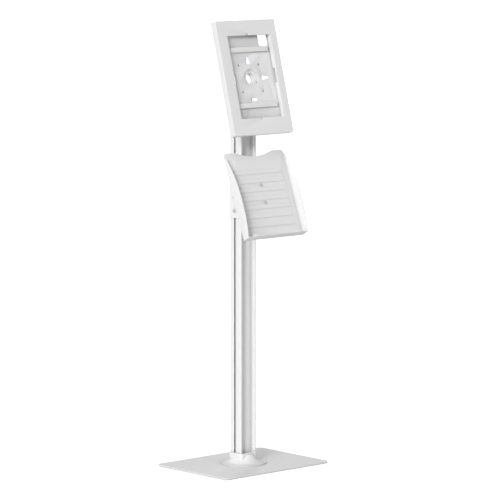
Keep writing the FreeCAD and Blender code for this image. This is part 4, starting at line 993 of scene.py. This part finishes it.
    def draw_section(self, name: str, node: str, slot: str, finish: Coat,
                     corner: float) -> bpy.types.Object:
        """Draw one of the stand's long sections again with eased corners.

        Args:
            name: the piece's name.
            node: the frame's node.
            slot: the record's material slot; not used.
            finish: the skin that it gets.
            corner: the corners' rounding, in metres.

        Returns:
            The piece.
        """
        low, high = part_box(node)
        values = {"Start": low[2], "Length": high[2] - low[2], "Corner Radius": corner,
                  "Skin": self.finishes.coat(finish)}
        mesh = self.run_tree(self.section(node), self.extrusion, values)
        return self.finish_piece(name, mesh, "stand", finish, [node])

    def set_out(self, name: str, node: str, body: str, slot: str, finish: Coat,
                shape: bpy.types.Mesh, facing: Vector | Callable[[Vector], Vector],
                spread: float = 0.5, seed: int = 7) -> bpy.types.Object:
        """Set a small part on each seat of a frame node.

        Args:
            name: the piece's name.
            node: the frame's node.
            body: the body that it rides.
            slot: the record's material slot; not used.
            finish: the skin that it gets.
            shape: the part, its top at the origin.
            facing: the way the parts face, or what gives it.
            spread: how far each part may be turned round its axis, in radians.
            seed: what the turns are drawn from.

        Returns:
            The piece.
        """
        seats = self.seats(node, facing)
        mesh = bpy.data.meshes.new("seat_points")
        mesh.from_pydata([seat.point for seat in seats], [], [])
        ways = mesh.attributes.new("facing", "FLOAT_VECTOR", "POINT")
        for place, seat in zip(ways.data, seats):
            place.vector = seat.facing
        part = bpy.data.objects.new("seat_part", shape)
        values = {"Part": part, "Turn Spread": spread, "Seed": seed,
                  "Skin": self.finishes.coat(finish)}
        made = self.run_tree(mesh, self.repeat, values)
        bpy.data.objects.remove(part)
        bpy.data.meshes.remove(shape)
        if "facing" in made.attributes:
            made.attributes.remove(made.attributes["facing"])
        return self.finish_piece(name, made, body, finish, [node])


@dataclass
class StandBase:
    """Floor mat, steel plate, its bolts and the flared collar round the column's foot."""

    shop: Workshop
    mat_edge: float = 0.4 * MM

    def build(self) -> None:
        """Make and dress the foot of the stand."""
        self.shop.soften("floor_mat_sheet", "floor_mat", "stand", "rubber", RUBBER, self.mat_edge)
        self.shop.dress("base_bolts", ZINC)
        self.shop.dress("base_plate", BASE_COAT)
        self.shop.dress("foot_collar", MOULDING)


@dataclass
class Column:
    """Slotted column, its rear duct cover, its cap and the post that carries the head."""

    shop: Workshop
    rail_corner: float = 0.5 * MM
    cover_corner: float = 0.3 * MM
    post_edge: float = 0.6 * MM
    post_screw: Screw = Screw(5.5 * MM, 5 * MM, 4 * MM, 28 * MM, Drive.HEX)

    def build(self) -> None:
        """Make and dress the column."""
        self.shop.draw_section("column_extrusion", "column_profile", "column_alloy",
                               COLUMN_COAT, self.rail_corner)
        self.shop.draw_section("cable_duct_cover", "cable_cover", "white_plastic",
                               MOULDING, self.cover_corner)
        self.shop.dress("column_cap", MOULDING)
        self.shop.soften("tilt_post_folded", "tilt_post", "stand", "white_steel",
                         HEAD_COAT, self.post_edge)
        self.shop.set_out("post_clamp_screws", "post_screws", "stand", "fastener_steel", ZINC,
                          self.post_screw.shape(), Vector((0.0, 0.0, 1.0)))
        self.shop.dress("tilt_spacer", ZINC)


@dataclass
class TiltYoke:
    """Yoke that tilts on the post, with its bolt, nut and friction washers."""

    shop: Workshop
    edge: float = 0.6 * MM

    def build(self) -> None:
        """Make and dress the yoke."""
        self.shop.soften("tilt_yoke_cast", "tilt_yoke", "yoke", "white_steel", HEAD_COAT, self.edge)
        for node in ("tilt_bolt", "tilt_nut"):
            self.shop.dress(node, ZINC)
        for node in ("friction_washers", "turn_washer"):
            self.shop.dress(node, NYLON)


@dataclass
class TabletHead:
    """Back plate with its clamping rails, the front frame and the lock."""

    shop: Workshop
    lean: float = 14.9
    frame_edge: float = 0.5 * MM
    plate_edge: float = 0.3 * MM
    rail_edge: float = 0.5 * MM
    foam_edge: float = 0.9 * MM
    foam_fill: float = 0.8
    insert: ThreadInsert = ThreadInsert()
    hub_screw: Screw = Screw(3.4 * MM, 1.6 * MM, 2 * MM, 5.4 * MM)
    cam_screw: Screw = Screw(3.5 * MM, 2 * MM, 1.5 * MM, 6 * MM)

    def build(self) -> None:
        """Make and dress the head."""
        self.build_shells()
        self.build_rails()
        self.build_fixings()
        self.build_lock()

    def build_shells(self) -> None:
        """Make the front frame, its catch and the back plate."""
        self.shop.soften("front_frame_folded", "front_frame", "frame", "white_steel",
                         HEAD_COAT, self.frame_edge, 3)
        self.shop.soften("back_plate_punched", "back_tray", "head", "white_steel",
                         SHADED_PLATE_COAT, self.plate_edge)
        self.shop.soften("frame_catch_folded", "frame_catch", "frame", "white_steel",
                         HEAD_COAT, self.plate_edge)

    def build_rails(self) -> None:
        """Make the two rails and their foam strips."""
        for place in ("upper", "lower"):
            self.shop.soften("%s_clamp_rail" % place, "%s_rail" % place, "head", "white_steel",
                             HEAD_COAT, self.rail_edge)
            pad = self.shop.soften("%s_foam_strip" % place, "%s_foam" % place, "head", "foam",
                                   FOAM, self.foam_edge, 3)

    def build_fixings(self) -> None:
        """Set out the inserts and screws, and dress the hub and the hinge pins."""
        way = leaning(self.lean)
        self.shop.set_out("tablet_thread_inserts", "thread_inserts", "head", "white_screws",
                          PAINTED_STEEL, self.insert.shape(), way, spread=0.0)
        self.shop.set_out("hub_flange_screws", "hub_screws", "head", "fastener_steel", ZINC,
                          self.hub_screw.shape(), way, seed=3)
        self.shop.dress("turn_hub", HEAD_COAT)
        self.shop.dress("ring_nut", ZINC)
        self.shop.dress("hinge_pins", ZINC)

    def build_lock(self) -> None:
        """Dress the lock and set its cam screw."""
        self.shop.dress("lock_body", CHROME)
        self.shop.dress("lock_plug", BRASS)
        self.shop.dress("lock_nut", ZINC)
        self.shop.dress("lock_cam", ZINC)
        self.shop.set_out("lock_cam_screw", "cam_screw", "lock", "fastener_steel", ZINC,
                          self.cam_screw.shape(), leaning(self.lean), seed=11)


@dataclass
class BrochureTray:
    """Folded tray for leaflets, its bracket on the column and its fixings."""

    shop: Workshop
    lean: float = 20.22
    fold_edge: float = 0.6 * MM
    bracket_edge: float = 0.6 * MM
    panel_screw: Screw = Screw(4.5 * MM, 2 * MM, 2.5 * MM, 10 * MM)
    side_screw: Screw = Screw(4.5 * MM, 3 * MM, 3 * MM, 10 * MM)

    def build(self) -> None:
        """Make and dress the tray."""
        self.shop.soften("brochure_tray_folded", "brochure_tray", "tray", "tray_steel",
                         TRAY_COAT, self.fold_edge)
        self.shop.soften("tray_bracket_folded", "tray_bracket", "tray", "tray_steel",
                         TRAY_COAT, self.bracket_edge)
        self.shop.set_out("tray_panel_screws", "tray_screws", "tray", "white_screws",
                          PAINTED_STEEL, self.panel_screw.shape(), leaning(self.lean), seed=5)
        self.shop.set_out("bracket_side_screws", "side_screws", "tray", "white_screws",
                          PAINTED_STEEL, self.side_screw.shape(), outward_x, seed=9)
        self.shop.dress("tray_nuts", ZINC)
        self.shop.dress("slot_nuts", ZINC)


@dataclass(frozen=True)
class Lamp:
    """A soft lamp far off, as even light from one side.

    Attributes:
        name: the lamp's name.
        left: degrees to the left of the holder's front.
        up: degrees above the floor.
        strength: light on a face that looks at the lamp, in watts per square metre.
        spread: how wide the lamp looks from the holder, in degrees.
    """

    name: str
    left: float
    up: float
    strength: float
    spread: float

    def hang(self) -> None:
        """Add the lamp to the scene, facing the holder."""
        data = bpy.data.lights.new(self.name, "SUN")
        data.energy = self.strength
        data.angle = math.radians(self.spread)
        way = way_from(self.left, self.up)
        add_to_scene(self.name, data).matrix_world = aimed_from(way * LAMP_AWAY, way)


@dataclass
class Studio:
    """Pale floor and white air, lit mostly from the left.

    Attributes:
        floor_half: half of the floor sheet's width.
        floor_colour: the floor paper's colour, linear.
        floor_lift: what brings the floor up to white for the eye alone.
        air_light: strength of the even light from all round.
        lamps: the lamps.
    """

    floor_half: float = 30.0
    floor_colour: Colour = (0.86, 0.86, 0.86)
    floor_lift: float = 0.62
    air_light: float = 0.17
    lamps: tuple[Lamp, ...] = (Lamp("key_softbox", 60.0, 20.0, 1.96, 14.0),
                               Lamp("side_strip", 75.0, 20.0, 0.72, 14.0),
                               Lamp("back_fill", 110.0, 60.0, 0.6, 90.0),
                               Lamp("front_fill", -40.0, 20.0, 0.84, 90.0))

    def build(self) -> None:
        """Lay the floor, light the air and hang the lamps."""
        self.lay_floor()
        self.light_air()
        for lamp in self.lamps:
            lamp.hang()

    def seen_share(self, shelf: NodeShelf) -> bpy.types.NodeSocket:
        """Give 1 on rays from the camera and through gloss or glass, and 0 on the rest.

        Args:
            shelf: the shelf of the material or world.

        Returns:
            The share.
        """
        path = shelf.add("ShaderNodeLightPath")
        mirror = shelf.math("MAXIMUM", path.outputs["Is Glossy Ray"], path.outputs["Is Transmission Ray"])
        return shelf.math("MAXIMUM", path.outputs["Is Camera Ray"], mirror)

    def lay_floor(self) -> None:
        """Lay the floor sheet, white to the eye and still shaded by the stand."""
        work = bmesh.new()
        bmesh.ops.create_grid(work, x_segments=1, y_segments=1, size=self.floor_half)
        mesh = bpy.data.meshes.new("studio_floor")
        work.to_mesh(mesh)
        work.free()
        floor = add_to_scene("studio_floor", mesh)
        material = bpy.data.materials.new("studio_floor_paper")
        shelf = open_shelf(material)
        output = shelf.add("ShaderNodeOutputMaterial")
        paper = shelf.add("ShaderNodeBsdfDiffuse")
        paper.inputs["Color"].default_value = (*self.floor_colour, 1.0)
        glow = shelf.add("ShaderNodeEmission")
        lift = shelf.math("MULTIPLY", self.seen_share(shelf), self.floor_lift)
        shelf.wire(lift, glow.inputs["Strength"])
        both = shelf.add("ShaderNodeAddShader")
        shelf.wire(paper.outputs["BSDF"], both.inputs[0])
        shelf.wire(glow.outputs["Emission"], both.inputs[1])
        shelf.wire(both.outputs["Shader"], output.inputs["Surface"])
        mesh.materials.append(material)

    def light_air(self) -> None:
        """Fill the air with even light that the eye sees as white."""
        world = bpy.data.worlds.new("studio_air")
        bpy.context.scene.world = world
        shelf = open_shelf(world)
        output = shelf.add("ShaderNodeOutputWorld")
        mix = shelf.add("ShaderNodeMixShader")
        shelf.wire(self.seen_share(shelf), mix.inputs["Fac"])
        for place, strength in ((1, self.air_light), (2, 1.0)):
            air = shelf.add("ShaderNodeBackground")
            air.inputs["Color"].default_value = (1.0, 1.0, 1.0, 1.0)
            air.inputs["Strength"].default_value = strength
            shelf.wire(air.outputs["Background"], mix.inputs[place])
        shelf.wire(mix.outputs["Shader"], output.inputs["Surface"])


@dataclass
class PhotoCamera:
    """Camera at the photograph's viewing angle.

    Attributes:
        target: the point that it was turned about.
        left: degrees to the left of the holder's front.
        up: degrees above the floor.
        distance: from the target.
        focal_pixels: focal length in the photograph's pixels.
        shift_x: shift of the picture to the side, as a share of its width.
        shift_y: shift of the picture upwards, as a share of its width.
    """

    target: tuple[float, float, float] = (0.0, 0.0, 0.6)
    left: float = 42.2186
    up: float = 6.874
    distance: float = 8.83525
    focal_pixels: float = 3168.376
    shift_x: float = 0.0138
    shift_y: float = 0.006

    def build(self) -> None:
        """Make the camera and hand it to the scene."""
        data = bpy.data.cameras.new("photo_camera")
        data.sensor_width = SENSOR_WIDTH_MM
        data.lens = self.focal_pixels / PHOTO_PIXELS * SENSOR_WIDTH_MM
        data.shift_x = self.shift_x
        data.shift_y = self.shift_y
        data.clip_end = VIEW_END
        camera = add_to_scene("photo_camera", data)
        way = way_from(self.left, self.up)
        camera.matrix_world = aimed_from(Vector(self.target) + way * self.distance, way)
        bpy.context.scene.camera = camera


def main() -> None:
    """Build the holder round its frame, class by class."""
    logging.basicConfig(level=logging.INFO, format="%(name)s %(message)s")
    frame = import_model()
    bpy.context.scene.view_settings.view_transform = "Standard"
    PhotoCamera().build()
    shop = Workshop(frame, Finishes())
    for assembly in (StandBase(shop), Column(shop), TiltYoke(shop), TabletHead(shop), BrochureTray(shop)):
        assembly.build()
    Studio().build()


if __name__ == "__main__":
    main()
